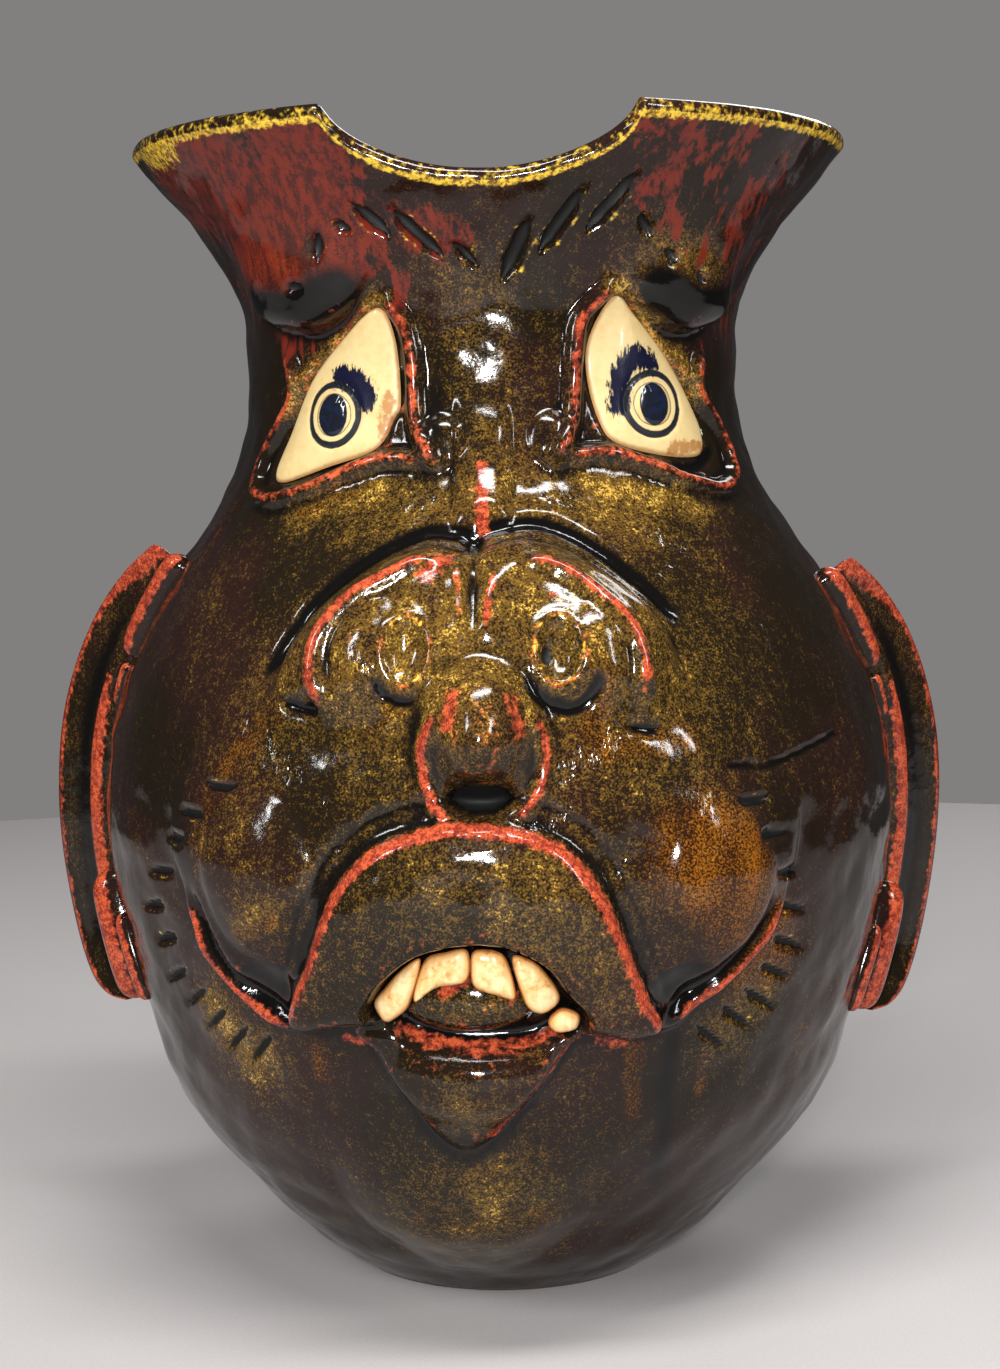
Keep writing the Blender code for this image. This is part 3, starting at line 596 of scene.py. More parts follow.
@dataclass(frozen=True)
class Face:
    """The grotesque face: what is laid on, pressed in and cut, in the order that it is done.

    A cut of the brow is its half width and its line. A run of the glaze is its half width, its strength and
    its line, under the tint that it takes.
    """

    cheeks: Path = (
        (-46, 37), (-43.2, 32.9), (-40.5, 30.8), (-36.5, 28.6), (-31.8, 27.2), (-22, 28), (-14, 28.6),
        (-4, 27.6), (7, 28.2), (15, 27), (23.5, 27), (27.3, 28.5), (31, 30.2), (35.6, 32.4), (39, 35),
        (43, 42), (41, 50), (34, 57), (27, 63), (14, 68), (0, 70), (-14, 69), (-28, 65), (-38, 57),
        (-47, 50), (-49, 42),
    )
    nose_plate: Path = (
        (-30, 52), (-30.4, 55.4), (-27, 59.2), (-22, 61.6), (-16.4, 63.4), (-10, 64.4), (-3.6, 63.7),
        (3, 64.8), (9, 64.4), (15, 62.9), (20.4, 60.6), (24, 58), (24.6, 55), (22, 51.8), (12, 50),
        (-2, 49), (-16, 50), (-25, 50.8),
    )
    mouth: Path = (
        (-16.6, 30), (-15.4, 31.6), (-13, 33.4), (-9.3, 35), (-3.9, 35.8), (0.6, 35.5), (5, 34),
        (7.6, 31.8), (10.2, 30), (9.4, 28.2), (3.5, 27.4), (-4, 27.3), (-10.6, 27.6), (-13.6, 28.9),
    )
    whiskers: tuple[Whiskers, ...] = (
        Whiskers(Side.LEFT, (
            (-37, 46.5, 0), (-42.8, 44.2, 0), (-46.9, 42, 4), (-53.3, 38.7, 6), (-56.9, 35.5, 8),
            (-55, 32.8, 12), (-54.2, 29.8, 20), (-50.1, 28.2, 26), (-46.1, 26.6, 32), (-42.4, 25.2, 36),
            (-38.1, 24.6, 40),
        )),
        Whiskers(Side.RIGHT, (
            (32.7, 45, 0), (35.6, 42.3, 4), (40, 39, 10), (42.4, 35.7, 14), (43.1, 32.6, 18),
            (41.1, 30.4, 22), (39.1, 28.2, 28), (35.3, 26.9, 32), (31.2, 25.5, 36),
        )),
    )
    brow_cuts: tuple[tuple[float, Path], ...] = (
        (2.3, ((-17.5, 91.8), (-9.9, 88.6))), (2.3, ((-24.5, 92.5), (-19.6, 90.3))),
        (1.9, ((-6.8, 89.3), (-3, 87.8))), (2.7, ((7.4, 90.9), (2.8, 86.8))),
        (2.5, ((16.3, 93), (10.3, 88.9))), (2.5, ((25.3, 94.2), (19.2, 90.4))),
        (2.2, ((28.7, 91.6), (31.3, 90.5))), (3.0, ((-41.4, 87.6), (-39, 87.6))),
        (2.5, ((-34, 89.6), (-33, 91))), (2.5, ((35.6, 89.6), (37.2, 88.9))),
        (2.5, ((43.2, 88.2), (44.8, 87.7))), (2.1, ((-29, 91.6), (-26.8, 90.9))),
    )
    runs: tuple[tuple[Tint, tuple[Run, ...]], ...] = (
        (Tint.OCHRE, (
            (45, 0.8, ((-14, 55), (0, 58), (18, 55))), (34, 0.55, ((-16, 38), (-4, 40), (8, 38))),
            (6, 0.9, ((-11, 56),)), (6, 1.0, ((7.6, 56),)), (24, 0.5, ((-3, 84), (-2, 76))),
            (5.5, 1.0, ((-25, 85.4), (-34, 82), (-43, 79.8), (-49, 77))),
            (5.5, 1.0, ((28, 86), (37, 82.2), (45, 80), (50, 77.6))), (10, 1.0, ((-24, 70), (-38, 67.8))),
            (10, 0.95, ((20, 70), (40, 68))), (20, 0.7, ((-26, 67), (-8, 69), (10, 69), (28, 67))),
            (7, 0.4, ((-33, 44), (-39, 42))), (6, 0.75, ((-28, 38), (-33, 36))),
            (30, 0.75, ((-3, 13), (-12, 9))), (12, 0.8, ((-46, 27), (-40, 24))),
            (12, 0.75, ((38, 28), (33, 25))), (12, 0.7, ((-46, 89), (-36, 89))),
            (12, 0.7, ((34, 90), (44, 89))),
        )),
        (Tint.RED, (
            (4, 0.42, ((-31, 83), (-43, 79.8), (-49, 76))), (4, 0.38, ((33, 83.4), (44, 80.2), (50, 77))),
            (3, 0.42, ((-19.4, 77), (-20, 74.4), (-25, 72.8))), (3, 0.42, ((20.4, 77), (22, 74.6))),
            (2.8, 0.78, ((-2.2, 71.2), (-2.1, 66))), (3.0, 0.7, ((-5.0, 53), (-5.6, 51.4))),
            (3.0, 0.66, ((1.4, 52.8), (2.4, 50.8))), (3, 0.55, ((-17.5, 56.6),)),
            (2.4, 0.6, ((7.4, 59.6),)), (4.8, 0.7, ((-7, 62.4), (-9, 61.2))),
            (2.2, 0.8, ((-22.5, 26.6), (-19.5, 26.4))), (3.6, 0.62, ((14, 26.4), (17.5, 26.2))),
        )),
        (Tint.RUST, (
            (34, 1.1, ((-62, 97), (-50, 95), (-44, 90))), (20, 1.0, ((-30, 98), (-32, 90))),
            (10, 0.76, ((-20, 91), (-8, 90))), (30, 0.5, ((40, 97), (52, 93), (60, 88))),
            (14, 0.6, ((28, 98), (34, 92))), (4, 0.7, ((-20, 83), (-19, 87))),
            (4, 0.5, ((20, 84), (21, 80))),
        )),
        (Tint.GOLD, (
            (8, 0.75, ((-72, 98.6), (-60, 98.4))),
        )),
        (Tint.AMBER, (
            (20, 0.95, ((24, 42), (30, 38), (36, 33))), (9, 0.5, ((-30, 52), (-36, 48), (-38, 45))),
            (9, 0.75, ((-29, 70.4), (-38, 68))), (9, 0.75, ((13, 54), (12, 50), (24, 50))),
            (6, 0.6, ((-12, 53), (-16, 51))), (8, 0.5, ((20, 60), (28, 56))),
            (5, 0.9, ((18.6, 26.6), (19.6, 20))), (4, 0.8, ((-27, 25.4), (-27, 23))),
            (5, 0.6, ((30, 24.2), (31, 21))), (4, 0.6, ((-28, 37), (-34, 35.4))),
            (5, 0.7, ((-2.2, 44.0), (-2.2, 43.2))), (8, 0.7, ((-14, 12), (-16, 7))),
            (6, 0.6, ((5, 12), (6, 8))),
        )),
        (Tint.POOL, (
            (4.5, 0.75, ((24.6, 26), (25, 20), (27, 13))), (5, 0.5, ((-1.6, 80.8),)),
            (5, 0.6, ((-12, 77.5), (-12, 74.5))), (5, 0.5, ((10, 76), (10, 73))),
            (10, 1.1, ((-55, 86), (-43, 85.4), (-33, 86.6))),
            (10, 1.1, ((36, 86.6), (45, 85.2), (56, 85.8))), (12, 0.5, ((-38, 37), (-34, 33), (-30, 31))),
            (9, 0.5, ((27, 31), (31, 33.5))),
        )),
        (Tint.PUCKER, (
            (5.0, 1, ((-34.6, 53.6), (-33.8, 50.6))), (2.6, 1, ((-31, 50.4), (-25.4, 47.8))),
            (3.2, 1, ((-38, 65.4),)), (2.2, 1, ((-30.6, 64.8),)), (2.2, 1, ((-16.6, 55.4), (-14.2, 51.8))),
            (3.6, 1, ((15, 53.4), (13.6, 49.6))), (3.4, 1, ((7.4, 47.8), (11.6, 49.2))),
            (2.8, 1, ((30.6, 66),)), (2.4, 1, ((29.2, 62.8), (27.6, 62.4))),
            (3.2, 1, ((44.1, 59.6), (43.7, 56.6))), (2.4, 1, ((36, 51), (33, 48.4))),
            (3.0, 1, ((24.2, 45.2),)), (2.4, 1, ((17, 42.8), (14.4, 40.6))), (3.0, 1, ((24.9, 55.4),)),
            (2.2, 1, ((-21.3, 46),)), (2.0, 1, ((-21, 41.6), (-18.6, 42.4))), (2.6, 1, ((-12.6, 72.8),)),
            (2.6, 1, ((11.4, 71.6),)), (2.2, 1, ((-31, 66.4), (-27, 67.2))),
            (2.2, 1, ((34, 64.6), (28, 65.8))), (2.0, 1, ((-17, 68.2), (-12, 68.6))),
            (2.0, 1, ((14, 68.6), (10, 68.8))), (2.4, 1, ((3.6, 44.2), (8.4, 44.8))),
        )),
    )
    hand_blur: float = 0.55
    form_blur: float = 2.4
    edge_red: float = 0.34
    hollow_pool: float = 0.7

    def masses(self) -> list[Feature]:
        """The large masses that give the face its form."""
        return [
            Slab(self.cheeks, 8.0, ((34, 11), (50, 40)), soft=((38, 0), (46, 1))),
            Slab(self.nose_plate, 8.5, ((51, 24), (58, 11)), fade=((48, 0), (52, 0.5), (57, 1)),
                 soft=((52, 1), (57, 0))),
            Slab(UPPER_LIP, 8.5, ((28, 11), (31, 6.5), (38, 9), (42, 13)), grow=2.3, reach=30),
            Bump((-7.6, 11.4), 42.0, 31.0, 8.5, power=1.25),
            *(Slab(path, 11.0, ((82, 10), (90, 24)), fade=((85.5, 1), (90, 0.6), (97, 0)),
                   soft=((84.5, 0), (88, 1)), sag=1.0, reach=30) for path in BROWS),
            Bump((-11, 73.6), 8.0, 9.0, 3.5),
            Bump((12, 73.8), 8.0, 9.0, 3.5),
            Bump((-31, 40), 20.0, 24.0, 5.0),
            Bump((28, 39.5), 19.0, 24.0, 5.0),
            Bump((-16.6, 56), 9.0, 14.0, 2.4),
            Bump((13, 56), 8.0, 13.0, 2.4),
            Bump((-2.1, 50.8), 19.0, 21.0, 15.0, power=1.8, sag=1.5),
            Bump((-2.1, 49.8), 12.0, 12.0, 3.0, power=2.0, sag=1.5),
        ]

    def mouth_parts(self) -> list[Feature]:
        """The open mouth, the gum in it and the lower lip in front of it."""
        return [
            Pocket(self.mouth, 3.0, pool=0.8),
            Bump((-4.3, 30.6), 19.5, 9.5, 8.0, power=0.55, clean=True),
            Wash(Tint.OCHRE, ((-8, 31), (0, 31)), 9, 0.7),
            Slab(LOWER_LIP, 9.5, ((0, 5.5),), grow=0.8, covers=True, reach=30,
                 fade=((16, 0.4), (19, 0.6), (22, 0.8), (25, 0.95), (28, 1))),
            Bump((-4.1, 24.2), 34.0, 15.0, 6.6, power=1.45),
            Bump((-5.2, 21.6), 19.0, 15.0, 2.6, power=1.4),
            Wash(Tint.OCHRE, ((-4.6, 22.4),), 13, 0.8),
            Groove(((-16.5, 29.4), (-13.4, 29.2), (-10.4, 28.3), (-4, 27.9), (3.4, 28), (7.6, 29),
                    (11.6, 29.6)), 1.9, 2.2, 1.3),
            Groove(((-28.5, 27.4), (-24, 27.4), (-20, 28.4), (-17.6, 29.6)), 1.6, 2.2, 1.1),
            Groove(((10.6, 29.4), (13.2, 28), (16.5, 26.9), (21.5, 27)), 1.6, 2.2, 1.1),
            Wash(Tint.RED, ((-13.5, 28.6), (-10.2, 27.6), (-4, 27.2), (3, 27.3), (7.6, 28.4)), 1.5, 0.7),
            Wash(Tint.RED, ((-19.4, 27.9), (-16.4, 25.6), (-13.2, 22.6), (-10.4, 20.2)), 2.0, 0.9),
            Wash(Tint.RED, ((11.4, 28.2), (8.4, 26.4), (4.8, 23.9), (1.5, 21.3), (-1.6, 19.3)), 2.3, 1.1),
            Wash(Tint.RED, ((-7, 31.9), (-3.4, 32.8), (1.4, 31.4)), 2.6, 0.7),
            Groove(((-20.6, 27.2), (-17.4, 24.6), (-14.4, 21.9), (-11, 18.8), (-6, 16.5)), 1.4, 1.0, 0.7),
            Groove(((-6, 16.5), (-1.6, 18), (2.4, 20.4), (5.8, 23.2), (9.6, 26.2), (12.4, 28.2)),
                   1.4, 1.0, 0.7),
            Wash(Tint.POOL, ((-5.9, 19.2),), 4.5, 0.7),
        ]

    @staticmethod
    def lid(path: Path) -> Coil:
        """A thick coil round an eye, red and mottled on its back."""
        return Coil(path, 3.3, 3.6, red=0.6, foot=0.3, band=0.74)

    def coils(self) -> list[Feature]:
        """Every coil: round the eyes, over the nose and along the upper lip, with the grooves beside them."""
        return [
            Coil(LIP_RIDGE, 3.4, 1.5, red=1.0, taper=6),
            Groove(((-30.2, 29), (-27.2, 34), (-24.1, 38.4), (-20.6, 42), (-15.2, 44.6), (-9.4, 45.8),
                    (-4.2, 46.2), (1.2, 46.3), (7.6, 45), (12.2, 42.6), (15.6, 38.8), (18.2, 35), (21, 31),
                    (23.6, 28.4)), 1.2, 1.0, 0.8),
            self.lid(((-24.3, 86), (-19, 83.5), (-17, 80.6), (-16.8, 77.5), (-16, 75), (-13.5, 72.8),
                      (-10.5, 70.9))),
            self.lid(((-12.5, 71.4), (-17.1, 72.2), (-23.6, 72.2), (-31.7, 71.2), (-40, 69.8), (-48.4, 69),
                      (-56, 69.8), (-58, 72.2), (-53.5, 75.3), (-49.5, 77.6), (-49.3, 79.8), (-53, 82))),
            Coil(((-24.3, 86), (-28, 84.4), (-31.5, 82.6), (-36, 80.6), (-43, 79.2), (-50, 79.4)),
                 3.0, 2.4, red=0.5),
            self.lid(((27.6, 86.8), (22.4, 85), (19, 83.2), (17.8, 80.4), (17.3, 77.4), (16.6, 75),
                      (14.2, 73), (11, 71))),
            self.lid(((13, 71.6), (17.4, 72.3), (24.3, 72.5), (32.8, 71.5), (39.7, 70.5), (50.4, 69.5),
                      (58, 70.2), (60, 72.2), (57.5, 74.8), (53, 77), (51.6, 79), (53.5, 81.6))),
            Coil(((27.6, 86.8), (32, 84.2), (37, 81.8), (43, 79.8), (51, 79)), 3.0, 2.4, red=0.5),
            Coil(((-7.4, 62.9), (-11.5, 62.1), (-15.2, 61), (-19, 59.8), (-21.6, 58.2), (-23.2, 56.4),
                  (-23.3, 54.5), (-22.4, 53), (-20.4, 52.2)), 3.2, 2.9, red=0.8, band=0.66),
            Coil(((2.2, 62.3), (6.9, 62), (10, 61.3), (13.5, 59.7), (16.8, 57.7), (18.1, 55.7),
                  (18.3, 53.9), (17.4, 52.3)), 3.2, 2.9, red=0.76, band=0.6),
            Groove(((-34.1, 53.9), (-31.9, 56.7), (-28.7, 59.9), (-24.2, 62.6), (-17.9, 64.8), (-11.2, 66),
                    (-5.1, 65.6), (-3.4, 65.1), (-0.3, 66), (7, 66.6), (12.9, 65.8), (18.1, 64.1),
                    (23.1, 61.9), (26.6, 59.5), (27.8, 57.6)), 3.6, 3.0, 1.5, taper=14),
            Coil(((-6.2, 52.6), (-8.8, 50.2), (-8.6, 47.4), (-7.2, 45.4), (-4.6, 44.2)),
                 2.8, 2.4, red=0.95),
            Coil(((-4.6, 44.2), (-2.2, 43.9), (0.4, 44.3)), 2.8, 2.4, red=0.0, taper=3),
            Coil(((0.4, 44.3), (3.2, 45.4), (5.2, 47.4), (5.6, 50.2), (3.6, 52.8)), 2.8, 2.4, red=0.75),
            Coil(((-2, 78), (-2.2, 75), (-2.1, 70), (-2.1, 65.6)), 9.0, 4.6, taper=14),
            Coil(((-6.3, 62.5), (-5.1, 60.6), (-4.7, 58.9), (-4.6, 56.4)), 2.6, 1.4, red=0.56),
            Coil(((1.6, 62.1), (-0.3, 60.5), (-1.1, 58.5), (-1.1, 56.4)), 2.6, 1.4, red=0.72),
        ]

    @staticmethod
    def moved_in(side: Side, path: Path, turned: float, raised: float) -> Path:
        """A line moved towards the front by some degrees, and up."""
        return tuple((turn - side.value * turned, up + raised) for turn, up in path)

    def cuts(self) -> list[Feature]:
        """Sockets, nostrils, hollows and every tool stroke."""
        jowl_folds = [
            Groove(self.moved_in(side, path, 3.2, 1.2), 3.2, 4.0, 1.1, taper=16)
            for side, path in JOWLS.items()
        ]
        return jowl_folds + [
            *(
                Coil(self.moved_in(side, path, 1.6, 0.5), 2.6, 1.6, red=1.0, taper=12, band=0.7)
                for side, path in JOWLS.items()
            ),
            Bump((-31, 30.6), 15.0, 12.0, -4.6, power=1.7, tint=Tint.POOL, strength=1.1),
            Bump((23.6, 30.4), 14.0, 12.0, -4.6, power=1.7, tint=Tint.POOL, strength=1.1),
            Pocket(LEFT_EYE, -1.5),
            Pocket(RIGHT_EYE, -1.5),
            Cup((-11.1, 56.1), 6.2, 8.6, 1.2, 2.8),
            Cup((7.6, 56), 6.4, 8.6, 1.3, 3.4),
            # The black here is painted shade in the small deep hole of the right nostril cup.
            Bump((6.2, 55.9), 2.2, 2.6, -3.0, tint=Tint.SLIT),
            # The black in these two grooves is painted shade under the lower rims of the nostril cups.
            Groove(((-15.4, 54.8), (-14, 53.4), (-11.4, 52.8), (-9, 53.2)), 1.8, 1.4, 1.1, taper=5),
            Groove(((3.4, 55), (4.4, 53.4), (6.8, 52.5), (9.8, 52.4), (12, 53.6), (12.6, 55)),
                   2.3, 2.0, 1.3, taper=6),
            # The black here is painted shade in the hollow under the overhanging nose tip.
            Bump((-2.1, 46.4), 9.5, 5.2, -8.0, power=0.5, tint=Tint.SLIT),
            Groove(((-2.9, 64), (-2.9, 61), (-2.9, 56.6)), 1.8, 2.0, 0.7),
            Groove(((-3.3, 65.8), (-3.3, 63.8)), 2.0, 2.0, 1.1, taper=3),
            Groove(((-28.6, 53), (-25, 52.5), (-21.6, 52.3)), 1.9, 3.4, 1.3, taper=4),
            Groove(((15.6, 51), (20.8, 50.6)), 1.7, 3.0, 1.3, taper=4),
            Groove(((27.2, 47.8), (37.1, 47.5), (47, 48.4), (57, 49.5)), 1.4, 1.6, 0.9),
            Groove(((-54, 48.4), (-44, 47.6), (-36, 46.6)), 0.9, 0.7, 0.5),
            Groove(((56, 73.2), (47, 71.4), (38, 71.4)), 2.0, 2.0, 1.2, taper=6),
            *(Stroke(path, half_width, 2.8) for half_width, path in self.brow_cuts),
        ]

    def washes(self) -> list[Feature]:
        """Where the glaze ran, pooled, broke and puckered, apart from what the modelling makes it do."""
        return [
            Wash(tint, path, half_width, strength)
            for tint, rows in self.runs
            for half_width, strength, path in rows
        ]

    def modelled(self, skin: Skin) -> Clay:
        """Works out the whole face over a skin.

        Args:
            skin: The places to work it out at.

        Returns:
            How the clay rises, sags and is tinted at each place.
        """
        clay = Clay.bare(skin.azimuth.shape)
        strokes = [stroke for row in self.whiskers for stroke in row.strokes(skin.form)]
        shaping = self.masses() + self.mouth_parts() + self.coils() + self.cuts() + strokes
        for feature in shaping + self.washes():
            feature.lay(skin, clay)
        clay.rise += self.hand_marks(skin.points)
        clay.rise = blurred(clay.rise, self.hand_blur)
        bulge = clay.rise - blurred(clay.rise, self.form_blur)
        clay.tint(Tint.RED, self.edge_red * np.clip(bulge / 0.9, 0, 1))
        hollow = np.clip((-bulge - 0.16) / 0.8, 0, 1)
        clay.tint(Tint.POOL, self.hollow_pool * (1 - clay.shield) * hollow)
        return clay

    @staticmethod
    def hand_marks(points: Array) -> Array:
        """The slight unevenness that fingers leave."""
        rng = np.random.default_rng(7)
        marks = np.zeros(points.shape[:-1])
        for wave in (9.0, 13.0, 18.0, 26.0) * 3:
            way = rng.normal(size=3)
            way *= 2 * math.pi / wave / np.linalg.norm(way)
            marks += 0.006 * wave * np.sin(points @ way + rng.uniform(0, 2 * math.pi))
        return marks


def placed(name: str, data: bpy.types.ID) -> bpy.types.Object:
    """Puts a new object in the scene."""
    made = bpy.data.objects.new(name, data)
    bpy.context.scene.collection.objects.link(made)
    return made


def placed_mesh(name: str, bm: bmesh.types.BMesh) -> bpy.types.Object:
    """Puts a new object in the scene with the mesh that was worked on, and frees that."""
    mesh = bpy.data.meshes.new(name)
    bm.to_mesh(mesh)
    bm.free()
    return placed(name, mesh)


def wrapped(name: str, points: Array, paint: dict[str, Array]) -> bpy.types.Object:
    """Makes a closed skin from a grid of points.

    Args:
        name: The piece's name.
        points: Points in millimetres, rows by columns by three. Rows that meet in one point close an end.
        paint: Values to keep at each point, by the name of the attribute that carries them.

    Returns:
        The piece, shaded smooth, with its faces outwards.
    """
    rows, columns = points.shape[0] - 1, points.shape[1] - 1
    bm = bmesh.new()
    bmesh.ops.create_grid(bm, x_segments=columns, y_segments=rows, size=0.5)
    layers = {key: bm.verts.layers.float.new(key) for key in paint}
    places = (points * MM).tolist()
    values = {key: grid.tolist() for key, grid in paint.items()}
    for vert in bm.verts:
        column = round((vert.co.x + 0.5) * columns)
        row = round((vert.co.y + 0.5) * rows)
        vert.co = places[row][column]
        for key, layer in layers.items():
            vert[layer] = values[key][row][column]
    bmesh.ops.remove_doubles(bm, verts=bm.verts, dist=SAME_POINT)
    bmesh.ops.recalc_face_normals(bm, faces=bm.faces)
    made = placed_mesh(name, bm)
    made.data.shade_smooth()
    return made


def dressed(
    piece: bpy.types.Object, finish: bpy.types.Material, node: str = ""
) -> bpy.types.Object:
    """Gives a piece its finish and its place among the bodies.

    Args:
        piece: The piece.
        finish: Its material.
        node: The solid that it stands for, if any.

    Returns:
        The piece.
    """
    piece.data.materials.append(finish)
    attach(piece, BODY)
    if node:
        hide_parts(node)
    log.info("%s: %d faces", piece.name, len(piece.data.polygons))
    return piece


@dataclass(frozen=True)
class JugBody:
    """The whole vessel in one skin: under the foot, up the outside, over the lip and down the inside."""

    form: ThrownForm = ThrownForm()
    face: Face = Face()
    front_half: float = 62.0
    side_half: float = 100.0
    front_columns: int = 212
    side_columns: int = 24
    back_columns: int = 26
    foot_rows: int = 5
    outside_rows: int = 268
    lip_rows: int = 12
    inside_rows: int = 24
    floor_rows: int = 5
    fine_from: float = 20.0
    fine_to: float = 95.0
    coarse: float = 0.55
    lip_gold: float = 1.5
    rim_gold: float = 0.95
    lip_outer_gold: float = 0.46
    lip_inner_gold: float = 0.26
    modelled_from: float = 9.0

    def azimuths(self) -> Array:
        """Azimuth of each column, closest together over the face."""
        behind = (self.back_columns, self.side_columns)
        counts = (*behind, self.front_columns, *behind[::-1])
        marks = (-180.0, -self.side_half, -self.front_half, self.front_half, self.side_half, 180.0)
        spans = [
            np.linspace(low, high, count, endpoint=False)
            for low, high, count in zip(marks, marks[1:], counts)
        ]
        return np.append(np.concatenate(spans), marks[-1])

    def heights(self) -> Array:
        """Height of each row up the outside, spread by the length of the turned outline."""
        fine = np.linspace(0, self.form.height, 2000)
        radius = self.form.wall(fine)[0]
        share = fine * 100 / self.form.height
        need = np.where((share > self.fine_from) & (share < self.fine_to), 1.0, self.coarse)
        steps = np.hypot(np.diff(fine), np.diff(radius)) * need[1:]
        travelled = np.concatenate(([0], np.cumsum(steps)))
        return np.interp(np.linspace(0, travelled[-1], self.outside_rows + 1), travelled, fine)

    def build(self) -> bpy.types.Object:
        """Makes the vessel with its face."""
        form = self.form
        azimuth = self.azimuths()[None, :]
        top = form.rim(azimuth)
        turn = np.radians(azimuth)

        def fitted(height: Array) -> Array:
            """Squeezes what is above the waist in under the notched rim."""
            squeeze = (top - form.waist) / (form.height - form.waist)
            return np.where(height > form.waist, form.waist + (height - form.waist) * squeeze, height)

        spread = np.linspace(0, form.foot_radius, self.foot_rows, endpoint=False)[:, None]
        under = around(spread, turn, 0 * spread * turn)
        height = fitted(self.heights()[:, None] + 0 * azimuth)
        skin = Skin(form, azimuth + 0 * height, height)
        clay = self.face.modelled(skin)
        stand = clay.rise * smooth_step(0, self.modelled_from, height)
        outside = form.point(skin.azimuth, height, stand)
        outside[..., 2] -= clay.drop
        inside_heights = np.linspace(form.height, form.floor / 2, self.inside_rows + 1)[:, None] + 0 * azimuth
        low = fitted(inside_heights)
        wall = np.interp(low, (form.waist, form.height), (form.body_wall, form.rim_wall))
        inside = form.point(azimuth + 0 * low, low, -wall)
        bend = np.linspace(0, math.pi, self.lip_rows + 1)[1:-1, None]
        slope = form.wall(top)[1]
        upward = around(slope, turn, 0 * slope + 1)
        upward /= np.sqrt(1 + slope**2)[..., None]
        middle = (outside[-1:] + inside[:1]) / 2
        lip = middle + (outside[-1:] - middle) * np.cos(bend)[..., None]
        lip = lip + upward * (form.rim_wall / 2 * np.sin(bend))[..., None]
        share = np.linspace(1, 0, self.floor_rows + 1)[1:, None, None]
        centre = np.array((0, 0, form.floor))
        floor = centre + (inside[-1:] - centre) * share
        points = np.concatenate((under, outside, lip, inside, floor))
        first, last = len(under), len(under) + len(outside)
        paint = {}
        for tint, values in clay.tints.items():
            grid = np.zeros(points.shape[:2])
            grid[first:last] = values
            paint[tint.value] = grid
        gold = self.rim_gold * hill(np.maximum(top - height, 0), 0, self.lip_gold)
        paint[Tint.GOLD.value][first:last] = np.maximum(clay.tints[Tint.GOLD], gold)
        fall = (self.lip_outer_gold - self.lip_inner_gold) * bend / math.pi
        paint[Tint.GOLD.value][last:last + len(lip)] = self.lip_outer_gold - fall
        paint[Tint.BARE.value][:first + 1] = 1.0
        return wrapped("glazed_jug", points, paint)


@dataclass(frozen=True)
class Strip:
    """A strip of clay laid on the wall beside an ear."""

    path: Path
    half_width: float
    rise: float
    red: float = 1.0

    def points(
        self, form: ThrownForm, side: Side, lower: float, rows: int, columns: int
    ) -> tuple[Array, Array]:
        """The strip's skin.

        Args:
            form: The vessel that it lies on.
            side: The side of the face.
            lower: How far down the strip is moved, in hundredths of the jug's height.
            rows: Places along it.
            columns: Places round it.

        Returns:
            Points in millimetres, and the share of each that is its red back.
        """
        moved = tuple((side.value * turn, up - lower) for turn, up in self.path)
        line = form.traced(moved, steps=10)
        place = np.linspace(0, len(line) - 1, rows + 1)
        azimuth, height = between(line, place).T
        spine = form.point(azimuth, height)
        normal = form.point(azimuth, height, 1.0) - spine
        along = np.gradient(spine, axis=0)
        along /= np.linalg.norm(along, axis=1)[:, None]
        across = np.cross(normal, along)
        bend = np.linspace(0, 2 * math.pi, columns + 1)[None, :]
        ends = np.sqrt(np.clip(1 - np.linspace(-1, 1, rows + 1) ** 8, 0, 1))[:, None]
        out = np.maximum(np.sin(bend), -0.5) * self.rise
        made = spine[:, None] + across[:, None] * (self.half_width * np.cos(bend) * ends)[..., None]
        made = made + normal[:, None] * (out * ends)[..., None]
        red = self.red * smooth_step(0.1, 0.75, np.sin(bend)) * smooth_step(0, 0.6, ends)
        return made, red


